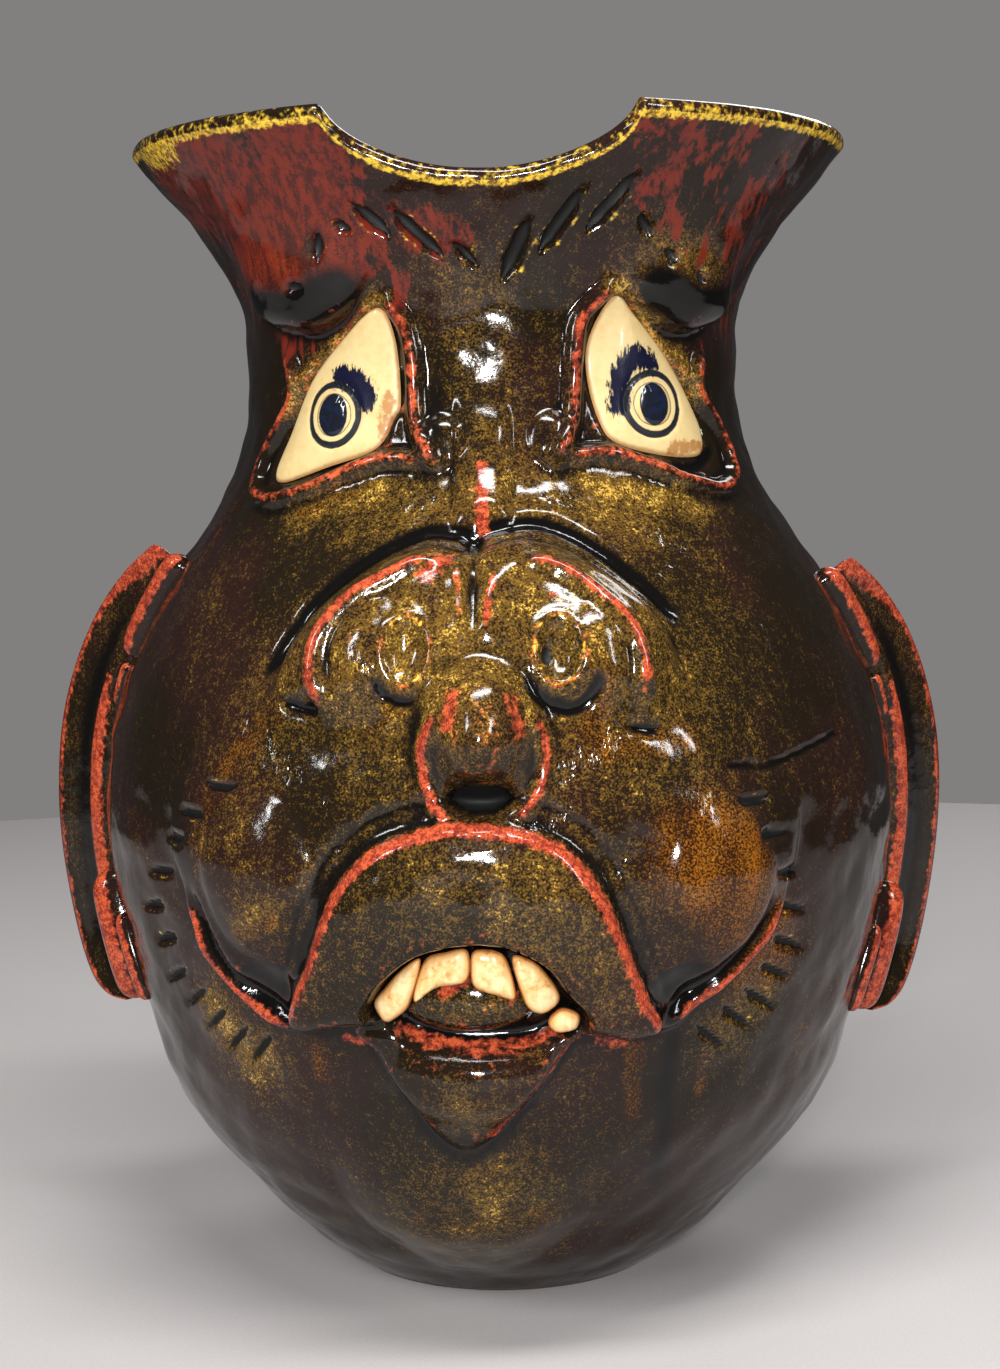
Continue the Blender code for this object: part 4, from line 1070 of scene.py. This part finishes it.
@dataclass(frozen=True)
class Ear:
    """A large ear luted to the side: a C-shaped flange with a rolled rim, and strips of clay at its front.

    Shares run along the flange from its top end to its lobe, and across it from its root in front, round the
    rim and back to its root behind. A ridge, a channel and a pool are each a middle and a width across it.
    """

    side: Side
    lower: float = 0.0
    form: ThrownForm = ThrownForm()
    rows: int = 150
    columns: int = 72
    plate: float = 4.5
    stations: tuple[tuple[float, ...], ...] = (
        (80, 62.2, 83.6, 63.9, 9.5), (84, 59.4, 89, 60.9, 14.2), (87, 55.6, 93, 57.4, 17.8),
        (89, 50.5, 96.5, 52.1, 20.8), (90, 46, 98.5, 47.4, 23.0), (90.5, 41.5, 99.5, 42.4, 23.8),
        (90, 36, 99.5, 36.1, 24.4), (88.5, 31, 98, 30.0, 23.4), (86, 27.8, 94, 26.6, 19.5),
        (82.5, 26.2, 89, 25.0, 13.5), (79.5, 25.6, 84, 24.6, 6.5),
    )
    span: Path = (
        (0, 0), (0.05, 0.04), (0.1, 0.12), (0.16, 0.2), (0.24, 0.34), (0.3, 0.48), (0.36, 0.62),
        (0.42, 0.78), (0.46, 0.9), (0.5, 1.0), (0.54, 1.04), (0.58, 1.0), (0.64, 0.86), (0.8, 0.45),
        (0.93, 0.12), (1, 0),
    )
    share: Path = ((0, 0), (0.1, 0.12), (0.3, 0.48), (0.5, 1.0), (0.6, 0.97), (0.93, 0.1), (1, 0))
    lift: Path = (
        (0, -3), (0.04, 0.2), (0.08, 1.7), (0.13, 2.9), (0.19, 3.0), (0.25, 1.4), (0.31, -0.9),
        (0.38, -1.2), (0.44, 0.2), (0.5, 1.6), (0.54, -0.6), (0.58, -3.6), (0.64, -4.5), (0.8, -4.5),
        (0.93, -4.5), (1, -3),
    )
    held_end: float = 0.04
    shut_end: float = 0.05
    smooth_reach: int = 8
    crown: Place = (0.06, 0.26)
    lobe: Place = (0.8, 0.94)
    ridge: Place = (0.165, 0.078)
    channel: Place = (0.36, 0.07)
    pool: Place = (0.3, 0.12)
    strips: tuple[Strip, ...] = (
        Strip(((78, 64), (81.5, 61.6), (85, 58.4), (87.2, 55)), 4.6, 6.2, 0.9),
        Strip(((86.6, 54.4), (88, 52.6), (89, 50.6)), 2.6, 3.4, 0.7),
        Strip(((82.4, 36.4), (80.6, 32.4), (79.6, 28.6), (80, 24.9)), 5.2, 8.6, 1.0),
        Strip(((75.8, 33), (74, 29.6), (72.8, 25.4)), 2.9, 3.6, 0.95),
    )

    def flange(self) -> tuple[Array, dict[Tint, Array]]:
        """The flange's skin, from its root on the wall, over its front, round its rim and down its back.

        Returns:
            Points in millimetres and the tints on them.
        """
        stations = np.array(self.stations)
        stations[:, (1, 3)] -= self.lower
        along = np.linspace(0, 1, self.rows + 1)[:, None]
        across = np.linspace(0, 1, self.columns + 1)[None, :]
        place = np.clip((along[:, 0] - self.held_end) / (1 - 2 * self.held_end), 0, 1) * (len(stations) - 1)
        here = between(stations, place)
        reach = self.smooth_reach
        window = np.exp(-0.5 * (np.arange(-reach, reach + 1) * 2 / reach) ** 2)
        window /= window.sum()
        padded = np.pad(here, ((reach, reach), (0, 0)), mode="reflect", reflect_type="odd")
        here = np.stack([np.convolve(column, window, mode="valid") for column in padded.T], 1)
        root_turn, root_up, rim_turn, rim_up, off = (column[:, None] for column in here.T)
        span = along_table(self.span, across)
        share = along_table(self.share, across)
        lift = along_table(self.lift, across)
        ends = np.minimum(along, 1 - along) / self.shut_end
        shut = np.sqrt(np.clip(1 - (1 - np.clip(ends, 0, 1)) ** 2, 0, 1))
        low_end = smooth_step(*self.lobe, along)
        stand = off * share**1.12 + lift * (1 - 0.5 * low_end)
        middle_turn, middle_up = (root_turn + rim_turn) / 2, (root_up + rim_up) / 2
        turn = middle_turn + (root_turn + (rim_turn - root_turn) * span - middle_turn) * shut
        up = middle_up + (root_up + (rim_up - root_up) * span - middle_up) * shut
        points = self.form.point(self.side.value * turn, up * self.form.height / 100, stand * shut)
        ridge = hill(across, *self.ridge) * smooth_step(0.2, 0.36, along) * (1 - low_end)
        top = 1 - smooth_step(*self.crown, along)
        edge = hill(across, 0.505 - 0.03 * top, 0.034 + 0.07 * top)
        channel = hill(across, *self.channel) * (1 - top)
        blank = np.zeros(points.shape[:2])
        tints = {
            Tint.RED: blank + np.maximum(1.05 * ridge, 0.85 * edge),
            Tint.POOL: blank + np.maximum(0.75 * channel, low_end * hill(across, *self.pool)),
            Tint.OCHRE: blank + 0.25,
        }
        return points, tints

    def build(self) -> list[bpy.types.Object]:
        """Makes the flange and the strips of clay in front of it."""
        label = self.side.name.lower()
        points, tints = self.flange()
        made = [wrapped(f"{label}_ear", points, {tint.value: grid for tint, grid in tints.items()})]
        for number, strip in enumerate(self.strips, start=1):
            points, red = strip.points(self.form, self.side, self.lower, 48, 24)
            made.append(wrapped(f"{label}_ear_strip_{number}", points, {Tint.RED.value: red}))
        return made


@dataclass(frozen=True)
class Inset:
    """A domed piece of pale clay set in a pocket in the wall."""

    node: str
    outline: Path
    proud: float
    thickness: float
    dome: float
    centre: Optional[Place] = None
    grow: float = 0.0
    form: ThrownForm = ThrownForm()
    columns: int = 120
    front_rows: int = 34
    back_rows: int = 10

    def build(self) -> bpy.types.Object:
        """Makes the piece: its face from the middle out, its edge and its back."""
        line = self.form.traced(self.outline, closed=True, steps=12)
        middle = self.form.places((self.centre,))[0] if self.centre else line.mean(0)
        place = np.linspace(0, len(line), self.columns + 1)
        ring = np.concatenate((line, line[:1]))
        rim = between(ring, place)[None]
        front = np.sin(np.linspace(0, math.pi / 2, self.front_rows + 1))[:, None]
        back = np.linspace(1, 0, self.back_rows + 1)[1:, None]
        share = np.concatenate((front, back))
        where = middle + (rim - middle) * (1 + self.grow) * share[..., None]
        edge_in = np.linalg.norm((rim - middle) * (self.scale_across(middle), 1), axis=-1) * (1 - share)
        stand = self.proud - self.dome * share**3.2 + self.relief(where, edge_in)
        stand[len(front):] = self.proud - self.thickness
        points = self.form.point(where[..., 0], where[..., 1], stand)
        return wrapped(f"{self.node}_clay", points, self.paint(points, where, edge_in))

    def scale_across(self, middle: Array) -> float:
        """Millimetres over the wall for a degree of azimuth, at the piece's middle."""
        return math.radians(1) * float(self.form.wall(middle[1:])[0][0])

    def relief(self, where: Array, edge_in: Array) -> Array:
        """What is pressed in the piece's face."""
        return -0.5 * np.exp(-edge_in / 0.6)

    def paint(self, points: Array, where: Array, edge_in: Array) -> dict[str, Array]:
        """Values that the finish reads."""
        return {"edge": edge_in}


@dataclass(frozen=True)
class Eye(Inset):
    """An eye: pale clay with an iris pressed in it, and a brush of blue above the iris."""

    iris: Place = (0.0, 0.0)
    iris_radius: float = 10.0
    iris_aspect: float = 0.96
    pupil: tuple[float, float] = (5.5, 6.9)
    brush: Path = ()
    stain: Path = ()
    brush_width: float = 4.6
    stain_width: float = 3.0

    def from_iris(self, where: Array) -> tuple[Array, Array]:
        """How far each place lies across and up from the iris's middle, in millimetres."""
        middle = self.form.places((self.iris,))[0]
        across, up = np.moveaxis(where - middle, -1, 0)
        return across * self.scale_across(middle), up

    def reach(self, where: Array) -> Array:
        """Distance over the wall from the iris's middle, drawn round."""
        across, up = self.from_iris(where)
        return np.hypot(across / self.iris_aspect, up)

    def relief(self, where: Array, edge_in: Array) -> Array:
        """The pressed ring, the raised pupil and the softened edge."""
        far = self.reach(where)
        ring = hill(far, self.iris_radius, 0.8)
        well = hill(far, 0.68 * self.iris_radius, 0.6)
        pupil = np.sqrt(np.clip(1 - (far / (0.62 * self.iris_radius)) ** 2, 0, 1))
        return 0.7 * pupil - 0.7 * ring - 0.4 * well - 0.6 * np.exp(-edge_in / 0.7)

    def paint(self, points: Array, where: Array, edge_in: Array) -> dict[str, Array]:
        """Distances from the edge and the iris, and where the brush and the stain lie."""
        skin = Skin(self.form, where[..., 0], where[..., 1])
        across, up = self.from_iris(where)
        pupil = np.hypot(across / self.pupil[0], up / self.pupil[1])
        found = {"edge": edge_in, "iris": self.reach(where) / self.iris_radius, "pupil": pupil}
        lines = (("brush", self.brush, self.brush_width), ("stain", self.stain, self.stain_width))
        for name, path, width in lines:
            found[name] = hill(skin.distance(self.form.traced(path), width * 2.5)[0], 0, width)
        return found


@dataclass(frozen=True)
class Tooth(Inset):
    """A tooth: a rounded pellet of pale clay."""

    grow: float = 0.06
    columns: int = 72
    front_rows: int = 22
    back_rows: int = 6

    def relief(self, where: Array, edge_in: Array) -> Array:
        """A strongly rounded edge and a slight lengthwise ripple."""
        return -1.1 * np.exp(-edge_in / 0.9) + 0.06 * np.sin(where[..., 0] * 7)


class Wire:
    """A value in a material's graph, on which Python's operators add Math nodes."""

    def __init__(self, graph: "Graph", socket: bpy.types.NodeSocket) -> None:
        """Keeps the graph and the socket that gives the value."""
        self.graph = graph
        self.socket = socket

    def math(self, operation: str, first: Value, second: Value) -> "Wire":
        """Adds one Math node."""
        return self.graph.node("ShaderNodeMath", {"operation": operation}, {0: first, 1: second})

    def __add__(self, other: Value) -> "Wire":
        """Sum."""
        return self.math("ADD", self, other)

    def __sub__(self, other: Value) -> "Wire":
        """Difference."""
        return self.math("SUBTRACT", self, other)

    def __rsub__(self, other: Value) -> "Wire":
        """Difference from a number."""
        return self.math("SUBTRACT", other, self)

    def __mul__(self, other: Value) -> "Wire":
        """Product."""
        return self.math("MULTIPLY", self, other)

    __radd__ = __add__
    __rmul__ = __mul__

    def step(self, low: float, high: float) -> "Wire":
        """Runs smoothly from 0 at low to 1 at high."""
        return self.graph.node(
            "ShaderNodeMapRange",
            {"interpolation_type": "SMOOTHSTEP"},
            {0: self, 1: low, 2: high, 3: 0.0, 4: 1.0},
        )

    def band(self, low: float, high: float, soft: float) -> "Wire":
        """1 between two values and 0 away from them."""
        return self.step(low - soft, low + soft) * (1 - self.step(high - soft, high + soft))


class Graph:
    """A material's node graph round one Principled BSDF."""

    def __init__(self, name: str, **constants: float) -> None:
        """Starts a material.

        Args:
            name: The material's name.
            constants: Numbers for the shader's own sockets, with _ for a space in the socket's name.
        """
        self.material = bpy.data.materials.new(name)
        self.material.use_nodes = True
        self.tree = self.material.node_tree
        self.shader = self.tree.nodes["Principled BSDF"]
        for key, value in constants.items():
            self.shader.inputs[key.replace("_", " ")].default_value = value
        self.coordinates = self.node("ShaderNodeTexCoord", {}, {}, "Object")

    def node(self, kind: str, settings: dict, sockets: dict, output: Union[int, str] = 0) -> Wire:
        """Adds a node.

        Args:
            kind: Its type.
            settings: Its properties, set first.
            sockets: Values or wires for its inputs, by name or place.
            output: The output to give back.

        Returns:
            That output.
        """
        made = self.tree.nodes.new(kind)
        for key, value in settings.items():
            setattr(made, key, value)
        for key, value in sockets.items():
            self.feed(made.inputs[key], value)
        return Wire(self, made.outputs[output])

    def feed(self, socket: bpy.types.NodeSocket, value: Union[Value, Colour]) -> None:
        """Links a wire to a socket, or sets the socket's own value."""
        if isinstance(value, Wire):
            self.tree.links.new(value.socket, socket)
        elif socket.type == "RGBA":
            socket.default_value = (*value, 1.0)
        else:
            socket.default_value = value

    def noise(self, scale: float, detail: float, rough: float = 0.5, stretch: Colour = (1, 1, 1)) -> Wire:
        """Noise in the object's own space, stretched along its axes."""
        mapped = self.node("ShaderNodeMapping", {}, {"Vector": self.coordinates, "Scale": stretch})
        return self.node(
            "ShaderNodeTexNoise", {}, {"Vector": mapped, "Scale": scale, "Detail": detail, "Roughness": rough}
        )

    def attribute(self, name: str) -> Wire:
        """A value that the mesh carries."""
        return self.node("ShaderNodeAttribute", {"attribute_name": name}, {}, "Fac")

    def mix(self, share: Value, first: Union[Wire, Colour], second: Union[Wire, Colour]) -> Wire:
        """Mixes two colours."""
        return self.node("ShaderNodeMix", {"data_type": "RGBA"}, {0: share, 6: first, 7: second}, 2)

    def finish(self, colour: Wire, roughness: Value, height: Wire) -> bpy.types.Material:
        """Links the colour, the roughness and the bumps, whose height is in millimetres."""
        self.feed(self.shader.inputs["Base Color"], colour)
        self.feed(self.shader.inputs["Roughness"], roughness)
        bump = self.node("ShaderNodeBump", {}, {"Strength": 1.0, "Distance": MM, "Height": height})
        self.feed(self.shader.inputs["Normal"], bump)
        return self.material


@dataclass(frozen=True)
class Glaze:
    """Dark iron and ash glaze: olive-black with gold grain, red over edges, black in hollows, and painted
    shade in the deep holes of the nose and under the nostril cups.
    """

    deep: Colour = (0.0075, 0.0048, 0.0026)
    plum: Colour = (0.0120, 0.0050, 0.0040)
    grain_gold: Colour = (0.122, 0.066, 0.010)
    fleck_gold: Colour = (0.42, 0.25, 0.045)
    red_dark: Colour = (0.13, 0.016, 0.010)
    red_light: Colour = (0.40, 0.070, 0.024)
    rust_dark: Colour = (0.040, 0.008, 0.006)
    rust_light: Colour = (0.118, 0.014, 0.007)
    gold_dark: Colour = (0.12, 0.055, 0.006)
    gold_light: Colour = (0.62, 0.40, 0.035)
    amber_dark: Colour = (0.016, 0.005, 0.001)
    amber_light: Colour = (0.180, 0.060, 0.004)
    black: Colour = (0.0025, 0.0022, 0.0020)
    clay: Colour = (0.16, 0.10, 0.065)

    def material(self) -> bpy.types.Material:
        """Builds the glaze."""
        g = Graph("dark_glaze", IOR=1.37)
        tint = {kind: g.attribute(kind.value) for kind in Tint}
        cloud = g.noise(17, 2)
        run = g.noise(1, 3, 0.6, (130, 130, 15))
        mottle = g.noise(150, 3, 0.6)
        grain = g.noise(1500, 3, 0.65)
        flake = g.noise(520, 2)
        streak = g.noise(1, 2, 0.6, (380, 380, 60))
        lean = (cloud - 0.5) * 0.55 + (run - 0.5) * 0.5 + (mottle - 0.5) * 0.3
        ground = g.mix(cloud.step(0.42, 0.6), self.deep, self.plum)
        gold = grain * 0.7 + flake * 0.3 + lean * 0.42 + (tint[Tint.OCHRE] - 0.62) * 0.22
        colour = g.mix(gold.step(0.41, 0.64) * 0.8, ground, self.grain_gold)
        colour = g.mix((gold + (mottle - 0.5) * 0.25).step(0.61, 0.70) * 0.85, colour, self.fleck_gold)
        amber = g.mix((grain * 0.75 + run * 0.25).step(0.45, 0.62), self.amber_dark, self.amber_light)
        colour = g.mix((tint[Tint.AMBER] * 0.9 + lean * 1.1).step(0.30, 0.85) * 0.8, colour, amber)
        grade = grain * 0.3 + run * 0.2 + streak * 0.5
        rust = g.mix(grade.step(0.42, 0.57), self.rust_dark, self.rust_light)
        where = tint[Tint.RUST] * 0.72 + (run - 0.5) * 1.1 + (cloud - 0.5) * 0.3 + (streak - 0.5) * 0.7
        colour = g.mix(where.step(0.30, 0.50) * 0.92, colour, rust)
        # Black where the glaze pools in hollows; under the nostril cups this is painted shade.
        colour = g.mix(tint[Tint.POOL].step(0.15, 0.8), colour, self.black)
        grade = grain * 0.5 + flake * 0.3 + mottle * 0.2
        red = g.mix(grade.step(0.44, 0.60), self.red_dark, self.red_light)
        where = tint[Tint.RED] + (flake - 0.5) * 0.7 + (mottle - 0.5) * 0.6
        colour = g.mix(where.step(0.38, 0.70), colour, red)
        rim = g.mix((grain * 0.5 + flake * 0.5).step(0.40, 0.58), self.gold_dark, self.gold_light)
        where = tint[Tint.GOLD] + (flake - 0.5) * 0.7 + (mottle - 0.5) * 0.6
        colour = g.mix(where.step(0.36, 0.70), colour, rim)
        # Black in tool slits, and painted shade in the deep holes of the nose.
        colour = g.mix(tint[Tint.SLIT].step(0.35, 0.75), colour, self.black)
        colour = g.mix(tint[Tint.BARE].step(0.4, 0.6), colour, self.clay)
        roughness = 0.11 + (grain - 0.5) * 0.16 + tint[Tint.BARE] * 0.5 + tint[Tint.SLIT].step(0.5, 0.9) * 0.5
        ripple = tint[Tint.PUCKER] * (g.noise(1, 2, 0.5, (300, 300, 120)) - 0.5)
        height = (g.noise(70, 2) - 0.5) * 0.6 + (flake - 0.5) * 0.05 + (grain - 0.5) * 0.02 + ripple * 2.2
        return g.finish(colour, roughness, height)


@dataclass(frozen=True)
class EyeClay:
    """Cream clay under a thin clear glaze, with a black ring, a navy pupil and a brush of blue."""

    cream: Colour = (0.47, 0.355, 0.165)
    warm: Colour = (0.42, 0.275, 0.10)
    ink: Colour = (0.006, 0.007, 0.010)
    navy: Colour = (0.006, 0.009, 0.026)
    blue: Colour = (0.004, 0.0045, 0.016)
    burnt: Colour = (0.24, 0.085, 0.014)

    def material(self) -> bpy.types.Material:
        """Builds the clay."""
        g = Graph("eye_clay", Coat_Weight=0.3, Coat_Roughness=0.06, IOR=1.4)
        edge, iris = g.attribute("edge"), g.attribute("iris")
        fine, mottle = g.noise(420, 4, 0.6), g.noise(90, 3)
        colour = g.mix((mottle * 0.5 + fine * 0.5).step(0.42, 0.68) * 0.6, self.cream, self.warm)
        stain = (g.attribute("stain") + (fine - 0.5) * 1.8).step(0.5, 0.9)
        rim = 1 - (edge + (fine - 0.5) * 1.6).step(0.2, 1.5)
        colour = g.mix(stain * 0.8 + rim * 0.7, colour, self.burnt)
        streak = g.noise(1, 4, 0.65, (900, 900, 260))
        brush = (g.attribute("brush") + (streak - 0.5) * 1.5 + (fine - 0.5) * 0.5).step(0.46, 0.66)
        colour = g.mix(brush, colour, self.blue)
        worn = iris + (fine - 0.5) * 0.06
        colour = g.mix(worn.band(0.86, 1.07, 0.02), colour, self.ink)
        colour = g.mix(worn.band(0.66, 0.70, 0.015) * 0.75, colour, self.ink)
        pupil = g.mix(fine.step(0.45, 0.62), self.ink, self.navy)
        colour = g.mix(1 - (g.attribute("pupil") + (fine - 0.5) * 0.05).step(0.97, 1.03), colour, pupil)
        dark = 1 - iris.step(0.62, 0.70)
        height = (fine - 0.5) * 0.06 + (mottle - 0.5) * 0.25
        return g.finish(colour, 0.42 - dark * 0.3 - brush * 0.2, height)


@dataclass(frozen=True)
class ToothClay:
    """Cream clay stained orange-brown at its edges and in its cracks."""

    cream: Colour = (0.68, 0.50, 0.26)
    warm: Colour = (0.60, 0.31, 0.09)
    burnt: Colour = (0.26, 0.07, 0.012)

    def material(self) -> bpy.types.Material:
        """Builds the clay."""
        g = Graph("tooth_clay", Coat_Weight=0.45, Coat_Roughness=0.06, IOR=1.45)
        edge = g.attribute("edge")
        fine, mottle = g.noise(500, 4, 0.65), g.noise(160, 3)
        colour = g.mix((mottle * 0.5 + fine * 0.5).step(0.43, 0.60) * 0.85, self.cream, self.warm)
        rim = 1 - (edge + (fine - 0.5) * 3.0).step(0.2, 2.6)
        crack = (fine * 0.6 + mottle * 0.4).step(0.57, 0.64)
        colour = g.mix(rim * 0.85, colour, self.warm)
        colour = g.mix((1 - edge.step(0.1, 0.8)) * 0.9 + crack * 0.5, colour, self.burnt)
        height = (fine - 0.5) * 0.10 + (mottle - 0.5) * 0.3
        return g.finish(colour, 0.33, height)


@dataclass(frozen=True)
class Studio:
    """A plain pale floor, soft light and the camera at the photograph's viewing angle. Metres and degrees."""

    floor_radius: float = 1.14
    floor_sides: int = 160
    floor_colour: Colour = (0.315, 0.297, 0.292)
    backdrop: Colour = (0.222, 0.214, 0.212)
    room: Colour = (0.045, 0.045, 0.048)
    aim: tuple[float, float, float] = (0.0, 0.0, 0.19)
    camera_at: tuple[float, float, float] = (0.0009, -0.839, 0.272)
    pitch: float = 5.1
    roll: float = 0.95
    focal_px: float = 2437.0
    picture_height_px: float = 1369.0
    sensor_mm: float = 36.0
    lights: tuple[tuple[str, Colour, Place, float, bool], ...] = (
        ("key", (-0.8, -1.4, 1.2), (1.0, 1.0), 27.0, False),
        ("fill", (1.2, -0.9, 0.6), (1.0, 1.0), 6.5, False),
        ("front", (-0.03, -1.0, 0.34), (0.09, 0.09), 9.0, True),
        ("overhead", (0.1, -0.55, 1.5), (1.1, 0.24), 30.0, True),
        ("left lamp", (-1.1, -0.9, 0.9), (0.10, 0.5), 8.0, True),
        ("right lamp", (1.1, -0.9, 0.8), (0.10, 0.5), 6.5, True),
        ("rim", (0.6, 1.2, 1.2), (0.8, 0.8), 10.0, True),
    )

    def build_floor(self) -> bpy.types.Object:
        """Lays the round floor."""
        bm = bmesh.new()
        bmesh.ops.create_circle(bm, cap_ends=True, segments=self.floor_sides, radius=self.floor_radius)
        floor = placed_mesh("floor", bm)
        g = Graph("pale_floor")
        weave = g.noise(900, 2, 0.6)
        colour = g.mix(weave.step(0.3, 0.7), tuple(0.93 * c for c in self.floor_colour), self.floor_colour)
        floor.data.materials.append(g.finish(colour, 0.8, (weave - 0.5) * 0.05))
        return floor

    def build_light(self, name: str, at: Colour, size: Place, power: float, seen: bool) -> None:
        """Adds an oblong soft light that faces the middle of the jug.

        Args:
            name: Its name.
            at: Where it stands.
            size: Its width and height.
            power: Its power in watts.
            seen: Whether glossy surfaces mirror it.
        """
        data = bpy.data.lights.new(name, "AREA")
        data.shape = "ELLIPSE"
        data.size, data.size_y = size
        data.energy = power
        light = placed(name, data)
        way = self.facing(np.array(at) - np.array(self.aim))
        light.matrix_world = Matrix.Translation(at) @ way.to_4x4()
        light.visible_glossy = seen
        light.visible_camera = False

    @staticmethod
    def facing(direction: Array) -> Matrix:
        """Rotation whose Z axis points along a direction."""
        z = direction / np.linalg.norm(direction)
        x = np.cross((0, 0, 1), z)
        x /= np.linalg.norm(x)
        y = np.cross(z, x)
        return Matrix(np.stack((x, y, z), 1).tolist())

    def build_camera(self) -> None:
        """Sets up the camera."""
        data = bpy.data.cameras.new("camera")
        data.sensor_width = self.sensor_mm
        data.lens = self.sensor_mm * self.focal_px / self.picture_height_px
        data.clip_start = 0.05
        camera = placed("camera", data)
        tilt = Matrix.Rotation(math.radians(90 - self.pitch), 4, "X")
        lean = Matrix.Rotation(math.radians(-self.roll), 4, "Z")
        camera.matrix_world = Matrix.Translation(self.camera_at) @ tilt @ lean
        bpy.context.scene.camera = camera

    def build(self) -> None:
        """Sets up the whole studio."""
        self.build_floor()
        for row in self.lights:
            self.build_light(*row)
        world = bpy.data.worlds.new("studio")
        world.use_nodes = True
        tree = world.node_tree
        room = tree.nodes["Background"]
        room.inputs["Color"].default_value = (*self.room, 1)
        seen = tree.nodes.new("ShaderNodeBackground")
        seen.inputs["Color"].default_value = (*self.backdrop, 1)
        ray = tree.nodes.new("ShaderNodeLightPath")
        mix = tree.nodes.new("ShaderNodeMixShader")
        tree.links.new(ray.outputs["Is Camera Ray"], mix.inputs["Fac"])
        tree.links.new(room.outputs["Background"], mix.inputs[1])
        tree.links.new(seen.outputs["Background"], mix.inputs[2])
        tree.links.new(mix.outputs["Shader"], tree.nodes["World Output"].inputs["Surface"])
        bpy.context.scene.world = world
        bpy.context.scene.view_settings.view_transform = "Standard"
        self.build_camera()


@dataclass(frozen=True)
class FaceJug:
    """The whole jug."""

    body: JugBody = JugBody()
    ears: tuple[Ear, ...] = (Ear(Side.LEFT), Ear(Side.RIGHT, lower=2.1))
    eyes: tuple[Eye, ...] = (
        Eye("left_eye", LEFT_EYE, 2.6, 4.6, 2.2, (-35.6, 76.0), iris=(-35.6, 76.0), iris_radius=10.0,
            brush=((-33.6, 79.2), (-29.8, 78.8), (-27.4, 77.2)), stain=((-22.4, 77.4), (-23.4, 74.4))),
        Eye("right_eye", RIGHT_EYE, 2.6, 4.6, 2.2, (36.1, 76.5), iris=(36.1, 76.5), iris_radius=10.2,
            iris_aspect=1.05, brush=((27.6, 76.4), (28.6, 79), (31.6, 80.4), (35.4, 80)),
            stain=((40, 72.8), (49, 73))),
    )
    tooth_proud: float = 11.0
    tooth_thickness: float = 5.5
    tooth_dome: float = 1.4
    teeth: tuple[Path, ...] = TEETH

    def build(self) -> None:
        """Builds every piece and dresses it."""
        glaze = Glaze().material()
        eye_clay = EyeClay().material()
        tooth_clay = ToothClay().material()
        dressed(self.body.build(), glaze, "jug_body")
        for ear in self.ears:
            for piece in ear.build():
                dressed(piece, glaze)
        for eye in self.eyes:
            dressed(eye.build(), eye_clay, eye.node)
        for number, outline in enumerate(self.teeth, start=1):
            tooth = Tooth(f"tooth_{number}", outline, self.tooth_proud, self.tooth_thickness, self.tooth_dome)
            dressed(tooth.build(), tooth_clay, tooth.node)


def main() -> None:
    """Builds the jug and the studio round it."""
    logging.basicConfig(level=logging.INFO, format="%(message)s")
    FaceJug().build()
    Studio().build()


if __name__ == "__main__":
    main()
